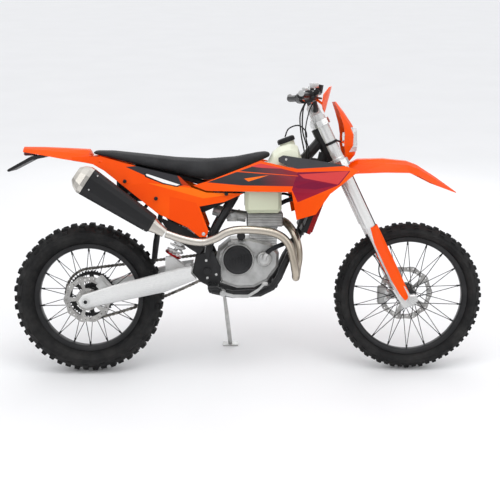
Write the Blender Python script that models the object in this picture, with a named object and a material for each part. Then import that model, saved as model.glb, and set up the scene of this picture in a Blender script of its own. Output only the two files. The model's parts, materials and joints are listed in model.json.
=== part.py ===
# Enduro motorcycle, leaning on its side stand.
# The motorcycle is drawn upright in its own frame: X forward from the middle of the wheelbase, Y to its left,
# Z up from the floor. One empty, bike, then leans it to the left onto the stand and centres it on the floor.
import math

import bmesh
import bpy
from mathutils import Matrix, Vector

# Stance
wheelbase = 1.485
lean_angle = math.radians(10)
rake_angle = math.radians(25.4)
seat_gap = 0.0003  # between pieces that rest on each other
overrun = 0.004  # how far a cutter or a fused piece runs past a face

# Tyres, rims and spokes
front_tyre_radius = 0.3485
front_tyre_width = 0.096
front_bead_radius = 0.2667
rear_tyre_radius = 0.351
rear_tyre_width = 0.126
rear_bead_radius = 0.2413
front_rim_width = 0.050
rear_rim_width = 0.060
rim_depth = 0.0135
rim_lip_height = 0.010
rim_lip_thickness = 0.004
spoke_radius = 0.0020
spoke_flange_radius = 0.036
hub_flange_thickness = 0.008
hub_waist_radius = 0.024
front_hub_width = 0.076
rear_hub_width = 0.104
axle_radius = 0.0105
axle_play = 0.0006
axle_nut_radius = 0.017
axle_nut_length = 0.014
spoke_count = 32
hub_play = 0.0015
lacing_angle = math.radians(52)

# Brake discs, sprockets and chain
front_disc_radius = 0.130
rear_disc_radius = 0.110
disc_band = 0.026
disc_thickness = 0.0036
disc_wave = 0.0035
disc_centre_radius = 0.050
disc_arm_width = 0.013
disc_boss_radius = 0.034
disc_petals = 10
front_disc_side = 0.058
rear_disc_side = -0.070
chain_pitch = 0.015875
chain_height = 0.015
chain_width = 0.015
chain_side = 0.077
chain_sag = 0.022
rear_sprocket_teeth = 48
front_sprocket_teeth = 14
sprocket_thickness = 0.006
sprocket_tooth_depth = 0.007
sprocket_rim = 0.013
countershaft_x = -0.113
countershaft_z = 0.512
shaft_radius = 0.011
pocket_clearance = 0.007
chain_run_steps = 12

# Fork and steering, measured up the fork from the axle
fork_spacing = 0.200
clamp_offset = 0.022
axle_lead = 0.030
fork_outer_radius = 0.0285
fork_neck_radius = 0.0265
fork_inner_radius = 0.024
fork_outer_bottom = 0.386
fork_outer_step = 0.730
fork_top = 0.936
fork_cap_height = 0.012
fork_cap_radius = 0.021
lower_clamp_height = 0.684
lower_clamp_thickness = 0.034
upper_clamp_height = 0.892
upper_clamp_thickness = 0.026
clamp_wall = 0.010
head_tube_radius = 0.029
stem_radius = 0.0145
stem_nut_radius = 0.018
head_play = 0.006
stem_nut_height = 0.010
backbone_start_share = 0.62
down_tube_start_share = 0.30
fork_foot_top = 0.075
fork_foot_width = 0.040
fork_foot_length = 0.046

# Fork guards
guard_bottom = 0.012
guard_top = 0.383
guard_half_width = 0.034
guard_wall = 0.0028
guard_drop = 0.052
guard_stand_off = 0.034
guard_lug_height = 0.045

# Handlebar and controls
bar_radius = 0.0110
bar_clamp_radius = 0.0141
bar_half_width = 0.403
bar_rise = 0.056
bar_sweep = 0.084
bar_bend_side = 0.125
bar_clamp_lead = 0.020
bar_clamp_rise = 0.052
bar_clamp_side = 0.042
bar_clamp_width = 0.026
grip_length = 0.122
grip_radius = 0.0165
grip_flange_radius = 0.026
throttle_housing_length = 0.046
throttle_housing_radius = 0.027
lever_length = 0.150
lever_thickness = 0.0075
lever_depth = 0.016
lever_reach = 0.060
lever_inset = 0.012
master_length = 0.052
master_radius = 0.013
master_rise = 0.022
master_overlap = 0.008
reservoir_size = 0.034
reservoir_inset = 0.016
control_gap = 0.006
handguard_width = 0.180
handguard_height = 0.112
handguard_thickness = 0.0032
handguard_lead = 0.125
handguard_wrap = 0.022
handguard_strut_radius = 0.006
handguard_low_share = 0.62
handguard_slant_share = 0.25
handguard_clamp_gap = 0.0194
handguard_root_share = 0.12
handguard_root_height_share = 0.28

# Headlight mask
mask_bottom_z = 0.978
mask_height = 0.269
mask_back_x = 0.400
mask_run = 0.103
mask_half_width = 0.112
mask_drop = 0.074
mask_wall = 0.0032
lens_half_width = 0.066
lens_height = 0.112
lens_bottom_z = 1.020
lens_depth = 0.012
lamp_shell_depth = 0.055
strap_height = 0.800
strap_width = 0.012
mask_edge_steps = 8

# Front fender
front_fender_behind_clamp = 0.017
front_fender_length = 0.573
front_fender_below_clamp = 0.110
front_fender_rise = 0.156
front_fender_half_width = 0.103
front_fender_drop = 0.066
fender_pad_back = -0.030
fender_pad_front = 0.050
fender_pad_half_width = 0.036
fender_pad_depth = 0.020
fender_wall = 0.0035

# Frame
frame_radius = 0.0165
upright_radius = 0.0185
backbone_radius = 0.024
down_tube_radius = 0.021
upright_side = 0.104
pivot_x = -0.190
pivot_z = 0.486
pivot_plate_thickness = 0.022
pivot_bolt_radius = 0.0085
cross_tube_radius = 0.013
frame_back_x = -0.200
frame_length = 0.500
frame_height = 0.600
cradle_floor_z = 0.372
seat_rail_radius = 0.010
seat_rail_side = 0.066
rail_back_x = -0.640
rail_length = 0.550
rail_base_z = 0.640
rail_height = 0.340

# Swingarm and shock absorber
swingarm_length = 0.613
swingarm_height = 0.197
swingarm_back_x = -0.778
swingarm_base_z = 0.318
swingarm_side = 0.112
swingarm_thickness = 0.030
swingarm_tube_radius = 0.022
neck_inner_side = 0.070
shock_bottom_x = -0.362
shock_bottom_z = 0.528
shock_top_x = -0.225
shock_top_z = 0.772
shock_side = -0.014
shock_rod_radius = 0.009
shock_body_radius = 0.024
shock_eye_radius = 0.017
shock_eye_width = 0.030
shock_mount_wall = 0.008
spring_radius = 0.034
spring_wire_radius = 0.0060
spring_turns = 5.0
spring_length = 0.118
spring_seat_thickness = 0.010

# Engine
crankcase_back_x = -0.158
crankcase_length = 0.296
crankcase_base_z = 0.400
crankcase_height = 0.230
crankcase_half_width = 0.078
case_bevel = 0.012
case_boss_radius = 0.014
clutch_x = -0.051
clutch_z = 0.537
clutch_radius = 0.075
clutch_cover_depth = 0.040
clutch_boss_depth = 0.012
pump_x = 0.069
pump_z = 0.537
pump_radius = 0.036
pump_depth = 0.030
ignition_x = 0.030
ignition_z = 0.515
ignition_radius = 0.064
ignition_depth = 0.038
barrel_front_x = 0.128
barrel_length = 0.124
barrel_half_width = 0.060
barrel_top_z = 0.686
head_front_x = 0.156
head_length = 0.166
head_half_width = 0.078
head_top_z = 0.748
head_cover_half_width = 0.046
head_cover_top_z = 0.800
rib_depth = 0.004
rib_count = 3
port_z = 0.712

# Exhaust
header_radius = 0.0185
header_back_x = -0.365
header_length = 0.591
header_side = 0.152
header_base_z = 0.455
header_height = 0.245
silencer_rear_x = -0.716
silencer_rear_z = 0.897
silencer_front_x = -0.434
silencer_front_z = 0.705
silencer_side = -0.158
silencer_rear_height = 0.132
silencer_front_height = 0.084
silencer_rear_width = 0.092
silencer_front_width = 0.070
end_cap_length = 0.062
silencer_cone_length = 0.068
silencer_sides = 16
silencer_lug_radius = 0.008
outlet_radius = 0.018

# Fuel tank
tank_back_x = -0.140
tank_length = 0.380
tank_base_z = 0.860
tank_height = 0.200
tank_half_width = 0.118
lobe_back_x = -0.018
lobe_length = 0.165
lobe_bottom_z = 0.750
lobe_half_gap = 0.086
lobe_half_width = 0.136
lobe_bevel = 0.016
tunnel_half_width = 0.036
tank_cap_x = 0.176
tank_cap_radius = 0.041
tank_cap_height = 0.022
tank_neck_radius = 0.034
tank_cap_tilt = math.radians(-20)
tank_cap_z = 1.064

# Seat
seat_back_x = -0.704
seat_length = 0.804
seat_base_z = 0.890
seat_height = 0.140
seat_half_width = 0.125

# Rear fender, lamp and plate holder
rear_fender_back_x = -1.020
rear_fender_length = 0.420
rear_fender_base_z = 0.980
rear_fender_rise = 0.068
rear_fender_half_width = 0.084
rear_fender_drop = 0.062
tail_lamp_half_width = 0.036
tail_lamp_length = 0.052
tail_lamp_height = 0.036
plate_holder_half_width = 0.088
plate_holder_length = 0.150
plate_holder_drop = 0.070

# Side panels and shrouds
panel_back_x = -0.795
panel_length = 0.771
panel_base_z = 0.645
panel_height = 0.361
panel_rear_side = 0.116
panel_middle_side = 0.146
panel_front_side = 0.140
panel_wall = 0.0032
panel_tuck = 0.034
panel_peg_radius = 0.006
shroud_back_x = -0.252
shroud_length = 0.737
shroud_base_z = 0.726
shroud_height = 0.259
shroud_rear_side = 0.135
shroud_middle_side = 0.185
shroud_front_side = 0.236
shroud_wall = 0.0032
shroud_tuck = 0.052
insert_back_x = 0.132
insert_length = 0.293
insert_base_z = 0.950
insert_height = 0.059
cover_back_x = -0.405
cover_length = 0.209
cover_base_z = 0.562
cover_height = 0.173
cover_side = 0.121

# Radiators
radiator_top_x = 0.338
radiator_top_z = 0.832
radiator_bottom_x = 0.272
radiator_bottom_z = 0.662
radiator_thickness = 0.036
radiator_inner_side = 0.052
radiator_width = 0.118
radiator_tank_height = 0.022
radiator_guard_thickness = 0.008
radiator_guard_bars = 9
radiator_guard_rim = 0.008
radiator_lug_radius = 0.006

# Airbox, mud flap and skid rails
airbox_back_x = -0.600
airbox_length = 0.280
airbox_base_z = 0.800
airbox_height = 0.120
airbox_half_width = 0.062
flap_top_x = -0.385
flap_height = 0.275
flap_lean = 0.040
flap_half_width = 0.055
flap_wall = 0.004
flap_drop = 0.026

# Foot controls
peg_x = -0.163
peg_z = 0.424
peg_length = 0.092
peg_width = 0.048
peg_height = 0.016
peg_boss_radius = 0.012
pedal_tip_x = 0.070
pedal_tip_z = 0.430
pedal_pivot_x = -0.120
pedal_pivot_z = 0.385
pedal_side = 0.128
pedal_thickness = 0.010
pedal_height = 0.014
shift_pivot_x = -0.062
shift_pivot_z = 0.446
shift_tip_x = 0.058
shift_tip_z = 0.440

# Brake calipers
caliper_length = 0.088
caliper_height = 0.046
caliper_thickness = 0.034
caliper_clearance = 0.0020
rear_caliper_lead = 0.078
rear_caliper_rise = 0.068
front_caliper_height = 0.040
front_caliper_back = 0.072
caliper_arm_length = 0.062

# Side stand, deployed
stand_pivot_x = -0.118
stand_pivot_z = 0.362
stand_pivot_side = 0.124
stand_out = 0.166
stand_forward = 0.030
stand_boss_radius = 0.018
stand_boss_depth = 0.014
stand_eye_depth = 0.016
stand_pin_radius = 0.006
stand_pin_play = 0.0005
stand_leg_radius = 0.0105
stand_knee_radius = 0.0070
stand_foot_length = 0.074
stand_foot_width = 0.044
stand_foot_thickness = 0.007
stand_axis_back_share = -0.15
stand_axis_up_share = 0.18

# Facets of round wheels
wheel_sides = 32

# Shares: points of outlines and sections along each piece, as parts of its own length, height and width
seat_shares = [  # along, top, bottom, half width
    (0.000, 0.993, 0.907, 0.56),
    (0.104, 0.982, 0.771, 0.84),
    (0.287, 0.871, 0.500, 0.96),
    (0.458, 0.764, 0.271, 1.00),
    (0.647, 0.714, 0.021, 0.90),
    (0.801, 0.779, 0.343, 0.70),
    (0.913, 0.900, 0.600, 0.58),
    (0.970, 0.986, 0.729, 0.50),
    (1.000, 0.943, 0.814, 0.40),
]
side_panel_shares = [
    (0, 0.994), (0.17, 1), (0.418, 0.861), (0.629, 0.756),
    (0.698, 0.618), (0.785, 0.554), (1, 0.54), (0.888, 0.438),
    (0.743, 0.382), (0.794, 0.083), (0.782, 0.003), (0.743, 0),
    (0.674, 0.122), (0.501, 0.296), (0.318, 0.612), (0.189, 0.828),
    (0.123, 0.906), (0, 0.956),
]
shroud_shares = [
    (0.412, 1), (0.634, 0.857), (0.924, 0.911), (1, 0.842),
    (0.893, 0.598), (0.825, 0.448), (0.741, 0.097), (0.626, 0),
    (0.596, 0.475), (0.32, 0.483), (0.084, 0.49), (0, 0.579),
    (0.095, 0.656),
]
insert_shares = [
    (0, 0.55), (0, 0.814), (0.075, 1), (0.573, 0.627), (0.85, 0.407),
    (1, 0.237), (1, 0), (0.348, -0.3),
]
front_fender_shares = [  # along, ridge height, half width, side drop
    (0, 0.628, 0.583, 0.455), (0.096, 0.801, 0.602, 0.682), (0.201, 0.987, 0.641, 1), (0.407, 1, 0.816, 0.955),
    (0.593, 0.923, 0.971, 0.788), (0.675, 0.808, 1, 0.758), (0.82, 0.468, 0.854, 0.606), (1, 0, 0.175, 0.091),
]
rear_fender_shares = [
    (0, 1, 0.62, 0.355), (0.214, 0.985, 0.90, 0.565), (0.429, 0.926, 1, 0.774), (0.71, 0.838, 1, 1),
    (0.743, 0.441, 1, 0.581), (1, 0, 1, 0.484),
]
mask_shares = [  # forward, height, half width, rearward drop
    (0, 1, 0.491, 0.162), (0.359, 0.825, 0.786, 0.405), (0.718, 0.621, 0.946, 0.676), (0.942, 0.454, 1, 0.892),
    (1, 0.268, 0.893, 1), (0.874, 0.1, 0.643, 0.703), (0.641, 0, 0.402, 0.297),
]
crankcase_shares = [
    (0.056, 0.774), (0, 0.435), (0.099, 0.109), (0.347, 0),
    (0.611, 0.009), (0.825, 0.152), (0.987, 0.435), (1, 0.696),
    (0.875, 0.891), (0.545, 1), (0.248, 0.978),
]
swingarm_shares = [
    (0, 0.173), (0.033, 0.31), (0.25, 0.523), (0.759, 0.924),
    (0.861, 0.964), (0.959, 1), (1, 0.858), (0.959, 0.695),
    (0.886, 0.67), (0.644, 0.376), (0.054, 0), (0.016, 0.051),
]
tank_shares = [  # along, top, bottom, half width
    (0.000, 0.140, 0.000, 0.59),
    (0.237, 0.325, 0.000, 0.72),
    (0.447, 0.500, 0.010, 0.85),
    (0.611, 0.600, 0.010, 0.95),
    (0.662, 0.800, 0.020, 0.97),
    (0.750, 0.940, 0.040, 1.00),
    (0.868, 1.000, 0.060, 1.00),
    (0.953, 0.950, 0.100, 0.93),
    (1.000, 0.700, 0.200, 0.76),
]
cover_shares = [
    (0, 1), (0.096, 0.798), (0.249, 0.52), (0.612, 0.191),
    (0.856, 0), (0.981, 0.22), (1, 0.405), (0.861, 0.439),
    (0.598, 0.694),
]
plate_shares = [  # the frame's pivot plate, from the pivot, in parts of its height
    (-0.30, 0.46), (0.16, 0.52), (0.36, 0.10), (0.36, -0.28), (0.14, -0.46), (-0.18, -0.30), (-0.40, -0.04),
]
pivot_plate_height = 0.170
plate_room_share = 1.1
backbone_shares = [(0.80, 0, 0.938), (0.50, 0, 0.838), (0.28, 0, 0.788)]
down_tube_shares = [(0.992, 0, 0.747), (0.87, 0, 0.447)]
cradle_shares = [  # along, out, up
    (0.878, 0.04, 0.467), (0.81, 0.385, 0.363), (0.744, 0.71, 0.263), (0.672, 0.817, 0.13),
    (0.61, 0.817, 0.055), (0.5, 0.817, 0.01), (0.252, 0.817, 0), (0.07, 0.875, 0.033),
    (0.032, 1, 0.113),
]
upright_shares = [
    (0.296, 0.077, 0.793), (0.268, 0.577, 0.738), (0.184, 0.865, 0.63), (0.1, 1, 0.512),
    (0.044, 1, 0.397), (0.02, 1, 0.28),
]
cross_tube_shares = [(0.05, 0.88, 0.033), (0.1, 1, 0.488), (0.64, 0.817, 0.067)]
shock_mount_shares = [
    (0.30, 0, 0.81), (0.32, 0, 0.745), (-0.01, 0, 0.625), (-0.08, 0, 0.63),
    (-0.10, 0, 0.68), (-0.06, 0, 0.71),
]
stand_root_share = (0.17, 0.80, 0.004)
upper_rail_shares = [
    (1, 1.06, 0.47), (0.829, 1, 0.682), (0.553, 1, 0.826), (0.304, 1, 0.921),
    (0.073, 1, 0.915), (0, 1, 0.915),
]
lower_rail_shares = [(0.864, 1.5, 0), (0.564, 1.09, 0.353), (0.227, 1, 0.915)]
rail_cross_shares = [(0.03, 1, 0.915), (0.42, 1, 0.875)]
bridge_shares = [(0.706, 0, 0.518), (0.731, 0, 0.812), (0.821, 0, 0.893), (0.87, 0, 0.77), (0.796, 0, 0.599)]
neck_shares = [(0.80, 0, 0.62), (0.80, 0, 0.88), (0.96, 0, 0.96), (0.98, 0, 0.80), (0.94, 0, 0.72)]
shock_lug_shares = [(0.64, 0, 0.80), (0.64, 0, 1.12), (0.70, 0, 1.14), (0.80, 0, 0.86), (0.78, 0, 0.70)]
boss_back_share = 0.28
boss_up_share = 0.02
header_shares = [  # along, out to the right, up
    (0.919, -0.20, 0.959), (0.964, -0.49, 0.816), (0.993, -0.645, 0.592), (1, -0.67, 0.367), (0.986, -0.69, 0.143),
    (0.976, -0.836, 0), (0.97, -0.987, 0.139), (0.939, -1, 0.51), (0.892, -1, 0.722), (0.814, -0.99, 0.841),
    (0.687, -0.99, 0.898), (0.541, -0.99, 0.91), (0.445, -0.99, 0.861), (0.364, -0.99, 0.755), (0.262, -0.965, 0.682),
    (0.127, -0.985, 0.735),
]
silencer_lug_shares = [(0.50, 0.30, 1.09, 0.79), (0.80, 0.40, 1.12, 0.60)]
lobe_root_share = 0.42
plate_holder_shares = [(0.35, 0), (0.35, -0.09), (-0.05, -0.25), (-0.74, -1), (-0.79, -0.94), (-0.76, -0.83), (-0.05, 0)]
panel_peg_shares = [  # along and up the panel, then the place on the rails
    (0.46, 0.72, (0.553, 1, 0.826)), (0.16, 0.94, (0.227, 1, 0.925)),
]
cover_peg_share = (0.42, 0.50, 0.62, 1.16, 0.28)
shroud_tuck_share = 0.45
shroud_peg_share = (0.42, 0.66)
radiator_lug_shares = (-0.55, 0.55)
radiator_peg_share = 0.20
flap_shares = [(0, 1, 0.6), (0.35, 1, 0.8), (0.7, 1, 1), (1, 0.85, 0.9)]
pedal_shares = [(0, 0), (0.25, -0.28), (0.6, -0.30), (0.85, 0.35), (1, 1)]
shift_shares = [(0, 0), (0.35, -0.6), (0.75, -0.9), (1, 0)]
bar_shares = [0, 0.30, 0.34, 0.40, 0.46, 0.53, 0.62, 0.80, 1.0]
guard_shares = [(0.0, 0.86, 0.95, 0.62), (0.10, 0.96, 1.02, 0.86), (0.30, 1.0, 1.02, 1.0), (0.80, 0.98, 1.02, 1.0), (1.0, 0.92, 1.0, 0.72)]
lever_dip_share = 0.35
perch_share = 0.45
lever_shares = [(0, 0, 1.2), (0.30, 0.48, 1.0), (0.72, 0.40, 0.8), (1, 0.35, 1.1)]  # out, ahead, size
square = [(-1, -1), (1, -1), (1, 1), (-1, 1)]
foot_shares = [(-0.65, 1.70), (0.57, 1.70), (0.74, 0.43), (1.22, 0.26), (1.26, -0.35), (0.65, -0.65), (-0.39, -0.52)]
handguard_shares = [
    (0, 0.42), (0.12, 0.82), (0.40, 1), (0.78, 0.94), (1, 0.66), (0.96, 0.28), (0.70, 0.04), (0.30, 0), (0.06, 0.16),
]

# Finishes: colour, roughness, metallic
orange = ((0.90, 0.16, 0.01), 0.30, 0.0)
black_plastic = ((0.025, 0.025, 0.027), 0.55, 0.0)
black_metal = ((0.020, 0.020, 0.022), 0.40, 0.4)
rubber = ((0.020, 0.020, 0.021), 0.80, 0.0)
cast_silver = ((0.55, 0.55, 0.54), 0.42, 0.9)
bright_silver = ((0.72, 0.72, 0.72), 0.25, 1.0)
exhaust_steel = ((0.62, 0.58, 0.52), 0.28, 1.0)
tank_plastic = ((0.78, 0.79, 0.68), 0.45, 0.0)
seat_cover = ((0.030, 0.030, 0.032), 0.75, 0.0)
spring_white = ((0.85, 0.85, 0.85), 0.30, 0.0)
lens_clear = ((0.85, 0.88, 0.90), 0.08, 0.0)
lamp_red = ((0.60, 0.02, 0.03), 0.20, 0.0)

finish_cache = {}
right, left = -1, 1


def clear_scene():
    for old in list(bpy.data.objects):
        bpy.data.objects.remove(old, do_unlink=True)


def finish_of(finish):
    """One material for each finish."""
    if finish not in finish_cache:
        colour, roughness, metallic = finish
        made = bpy.data.materials.new("finish")
        made.use_nodes = True
        shader = made.node_tree.nodes["Principled BSDF"]
        shader.inputs["Base Color"].default_value = (*colour, 1)
        shader.inputs["Roughness"].default_value = roughness
        shader.inputs["Metallic"].default_value = metallic
        made.diffuse_color = (*colour, 1)
        finish_cache[finish] = made
    return finish_cache[finish]


def empty(name, place, parent=None):
    made = bpy.data.objects.new(name, None)
    bpy.context.scene.collection.objects.link(made)
    made.location = place
    made.parent = parent
    return made


def weld(shape):
    """Merges points that lie together and drops the slivers between them."""
    tiny = seat_gap / 60
    bmesh.ops.remove_doubles(shape, verts=shape.verts, dist=tiny)
    bmesh.ops.dissolve_degenerate(shape, dist=tiny, edges=shape.edges)


def piece(name, shape, finish, parent):
    """A named object from a bmesh that was drawn in the upright motorcycle's frame."""
    weld(shape)
    bmesh.ops.dissolve_limit(shape, angle_limit=math.radians(0.2), verts=shape.verts, edges=shape.edges)
    loose = [edge for edge in shape.edges if not edge.link_faces]
    bmesh.ops.delete(shape, geom=loose, context="EDGES")
    bmesh.ops.recalc_face_normals(shape, faces=shape.faces)
    mesh = bpy.data.meshes.new(name)
    shape.to_mesh(mesh)
    shape.free()
    made = bpy.data.objects.new(name, mesh)
    bpy.context.scene.collection.objects.link(made)
    mesh.materials.append(finish_of(finish))
    mesh.shade_smooth()
    mesh.set_sharp_from_angle(angle=math.radians(35))
    made.parent = parent
    place = Vector()
    while parent is not None:
        place += parent.location
        parent = parent.parent
    made.location = -place
    return made


def warped(face):
    """Whether a face's corners lie off its plane."""
    middle = face.calc_center_median()
    return len(face.verts) == 4 and any(abs((v.co - middle).dot(face.normal)) > seat_gap / 50 for v in face.verts)


def combine(shapes, operation="UNION"):
    """The first shape joined with, or cut by, the others."""
    tools = bpy.data.collections.new("tools")
    bpy.context.scene.collection.children.link(tools)
    made = []
    for i, shape in enumerate(shapes):
        bmesh.ops.recalc_face_normals(shape, faces=shape.faces)
        bmesh.ops.triangulate(shape, faces=[f for f in shape.faces if warped(f)])
        mesh = bpy.data.meshes.new("tool")
        shape.to_mesh(mesh)
        shape.free()
        tool = bpy.data.objects.new("tool", mesh)
        (tools if i else bpy.context.scene.collection).objects.link(tool)
        made.append(tool)
    joiner = made[0].modifiers.new("joiner", "BOOLEAN")
    joiner.operation = operation
    joiner.operand_type = "COLLECTION"
    joiner.collection = tools
    joiner.solver = "EXACT"
    graph = bpy.context.evaluated_depsgraph_get()
    result = bmesh.new()
    result.from_object(made[0], graph)
    weld(result)
    for tool in made:
        bpy.data.objects.remove(tool, do_unlink=True)
    bpy.data.collections.remove(tools)
    return result


def fused(*shapes):
    return combine(list(shapes))


def cut(shape, *cutters):
    return combine([shape, *cutters], "DIFFERENCE")


def loft(rings, closed=False):
    """A solid through rings of points, with flat ends, or with the last ring joined to the first."""
    shape = bmesh.new()
    loops = [[shape.verts.new(p) for p in ring] for ring in rings]
    count = len(loops[0])
    spans = list(zip(loops, loops[1:]))
    if closed:
        spans.append((loops[-1], loops[0]))
    for a, b in spans:
        for i in range(count):
            j = (i + 1) % count
            shape.faces.new((a[i], a[j], b[j], b[i]))
    if not closed:
        shape.faces.new(loops[0][::-1])
        shape.faces.new(loops[-1])
    return shape


def smooth(points, steps, closed=False):
    """A Catmull-Rom curve through the points."""
    points = [Vector(p) for p in points]
    count = len(points)
    found = []
    for i in range(count if closed else count - 1):
        if closed:
            a, b, c, d = (points[(i + k) % count] for k in (-1, 0, 1, 2))
        else:
            b, c = points[i], points[i + 1]
            a = points[i - 1] if i else b + (b - c)
            d = points[i + 2] if i + 2 < count else c + (c - b)
        for s in range(steps):
            t = s / steps
            found.append(
                (b * 2 + (c - a) * t + (a * 2 - b * 5 + c * 4 - d) * t**2 + (b * 3 - a - c * 3 + d) * t**3) / 2
            )
    if not closed:
        found.append(points[-1])
    return found


def tube(points, radius, sides=8, radii=None):
    """A round bar along points, with flat ends. radii gives a radius for each point."""
    points = [Vector(p) for p in points]
    rings = []
    across = None
    for i, point in enumerate(points):
        ahead = points[min(i + 1, len(points) - 1)] - points[max(i - 1, 0)]
        ahead.normalize()
        if across is None:
            across = ahead.orthogonal().normalized()
        across = (across - ahead * across.dot(ahead)).normalized()
        other = ahead.cross(across)
        size = radii[i] if radii else radius
        rings.append(
            [
                point + (across * math.cos(a) + other * math.sin(a)) * size
                for a in (2 * math.pi * k / sides for k in range(sides))
            ]
        )
    return loft(rings)


def turned(profile, sides, origin, axis, ring=False):
    """A turned solid: profile holds (radius, distance along the axis). A ring's profile closes on itself."""
    axis = Vector(axis).normalized()
    turn = axis.to_track_quat("Z", "Y").to_matrix().to_4x4()
    turn.translation = Vector(origin)
    shape = bmesh.new()
    loops = []
    for radius, along in profile:
        if radius == 0:
            loops.append([shape.verts.new((0, 0, along))] * sides)
        else:
            loops.append(
                [
                    shape.verts.new((radius * math.cos(a), radius * math.sin(a), along))
                    for a in (2 * math.pi * k / sides for k in range(sides))
                ]
            )
    spans = list(zip(loops, loops[1:]))
    if ring:
        spans.append((loops[-1], loops[0]))
    for a, b in spans:
        for i in range(sides):
            j = (i + 1) % sides
            corners = []
            for corner in (a[i], a[j], b[j], b[i]):
                if corner not in corners:
                    corners.append(corner)
            if len(corners) > 2:
                shape.faces.new(corners)
    if not ring:
        for loop in (loops[0], loops[-1]):
            if len(set(loop)) > 2:
                shape.faces.new(loop)
    shape.transform(turn)
    return shape


def rod(start, end, radius, sides=8):
    """A plain round bar between two points."""
    start = Vector(start)
    along = Vector(end) - start
    return turned([(radius, 0), (radius, along.length)], sides, start, along)


def slab(outline, low, high, bevel=0):
    """A plate with its outline in X and Z, from one Y to another, with its rims bevelled."""
    shape = loft([[(x, low, z) for x, z in outline], [(x, high, z) for x, z in outline]])
    if bevel:
        rims = [e for e in shape.edges if abs(e.verts[0].co.y - e.verts[1].co.y) < bevel / 2]
        bmesh.ops.recalc_face_normals(shape, faces=shape.faces)
        bmesh.ops.bevel(shape, geom=rims, offset=bevel, segments=1, profile=0.5, affect="EDGES")
    return shape


def block(low, high, bevel=0):
    """A box between two corners, with all its edges bevelled."""
    shape = bmesh.new()
    bmesh.ops.create_cube(shape, size=1)
    low, high = Vector(low), Vector(high)
    for v in shape.verts:
        v.co = [(low[k] + high[k]) / 2 + v.co[k] * (high[k] - low[k]) for k in range(3)]
    if bevel:
        bmesh.ops.bevel(shape, geom=shape.edges[:], offset=bevel, segments=1, profile=0.5, affect="EDGES")
    return shape


def skin(outline, surface, wall, cuts_across, cuts_up):
    """A curved panel: a flat outline is cut into cells, each point is placed by surface, and it gets a wall."""
    shape = bmesh.new()
    shape.faces.new([shape.verts.new((a, b, 0)) for a, b in outline])
    bmesh.ops.triangulate(shape, faces=shape.faces[:])
    spans = [(min(p[k] for p in outline), max(p[k] for p in outline)) for k in (0, 1)]
    for k, count in enumerate((cuts_across, cuts_up)):
        for i in range(1, count + 1):
            place = Vector((0, 0, 0))
            place[k] = spans[k][0] + (spans[k][1] - spans[k][0]) * i / (count + 1)
            normal = Vector((0, 0, 0))
            normal[k] = 1
            bmesh.ops.bisect_plane(
                shape,
                geom=shape.verts[:] + shape.edges[:] + shape.faces[:],
                dist=wall / 10,
                plane_co=place,
                plane_no=normal,
            )
    for v in shape.verts:
        v.co = surface(v.co.x, v.co.y)
    bmesh.ops.remove_doubles(shape, verts=shape.verts[:], dist=wall / 20)
    bmesh.ops.recalc_face_normals(shape, faces=shape.faces[:])
    bmesh.ops.solidify(shape, geom=shape.faces[:], thickness=wall)
    return shape


def arch(stations, wall, points=7, power=2.4, rim=None):
    """A curved shell that arches across Y. A station holds its ridge point, half width and the drop at its edges."""
    rim = rim or wall
    shape = bmesh.new()
    loops = []
    for ridge, half, drop in stations:
        inward = drop.normalized() * wall
        outer, inner = [], []
        for i in range(points):
            s = 2 * i / (points - 1) - 1
            fall = abs(s) ** power
            outer.append(ridge + drop * fall + Vector((0, s * half, 0)))
            inner.append(ridge + inward * (1 - fall) + drop * fall + Vector((0, s * (half - rim), 0)))
        loops.append([shape.verts.new(p) for p in outer + inner[::-1]])
    count = 2 * points
    for a, b in zip(loops, loops[1:]):
        for i in range(count):
            j = (i + 1) % count
            column = i if i < points else count - 2 - i
            if (column < (points - 1) / 2) == (i < points):  # both faces of the wall fold along the same diagonal
                corners = ((a[i], a[j], b[j]), (a[i], b[j], b[i]))
            else:
                corners = ((a[i], a[j], b[i]), (a[j], b[j], b[i]))
            for triangle in corners:
                shape.faces.new(triangle)
    for loop in (loops[0], loops[-1]):
        for i in range(points - 1):
            shape.faces.new((loop[i], loop[i + 1], loop[count - 2 - i], loop[count - 1 - i]))
    return shape


def scaled(shares, x, length, z, height):
    """Outline points in X and Z from shares of a length and a height."""
    return [(x + a * length, z + b * height) for a, b in shares]


# Steering frame: height is measured up the fork from the axle, lead forward from the steering axis
fork_up = Vector((-math.sin(rake_angle), 0, math.cos(rake_angle)))
fork_forward = Vector((math.cos(rake_angle), 0, math.sin(rake_angle)))


def wheel_height(radius, width):
    """The height of a wheel's centre in the upright frame, so that the leaning tyre meets the floor."""
    tread = tyre_profile(radius, width, radius / 2, width / 2)
    reach = max(r * math.cos(lean_angle) + y * math.sin(lean_angle) for r, y in tread)
    return reach / math.cos(lean_angle)


def tyre_profile(radius, width, bead_radius, bead_width):
    """Half of the tyre's section and its mirror image, as (radius, side), from bead to bead."""
    crown_share = [(1.0, 0.0), (0.976, 0.56), (0.905, 0.95)]
    wall_share = [(0.42, 1.0)]
    depth = radius - bead_radius
    half = [(r * radius, s * width / 2) for r, s in crown_share]
    half += [(bead_radius + d * depth, s * width / 2) for d, s in wall_share]
    half += [(bead_radius + rim_lip_height + seat_gap, bead_width / 2), (bead_radius, bead_width / 2)]
    return [(r, -s) for r, s in half[:0:-1]] + half


def steer(height, lead, side=0.0):
    """A point in the upright frame from its place on the steering assembly."""
    axle_to_axis = axle_lead + clamp_offset
    return front_axle + fork_up * height + fork_forward * (lead - axle_to_axis) + Vector((0, side, 0))


front_axle = Vector((wheelbase / 2, 0, wheel_height(front_tyre_radius, front_tyre_width)))
rear_axle = Vector((-wheelbase / 2, 0, wheel_height(rear_tyre_radius, rear_tyre_width)))
side_axis = Vector((0, 1, 0))


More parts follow.
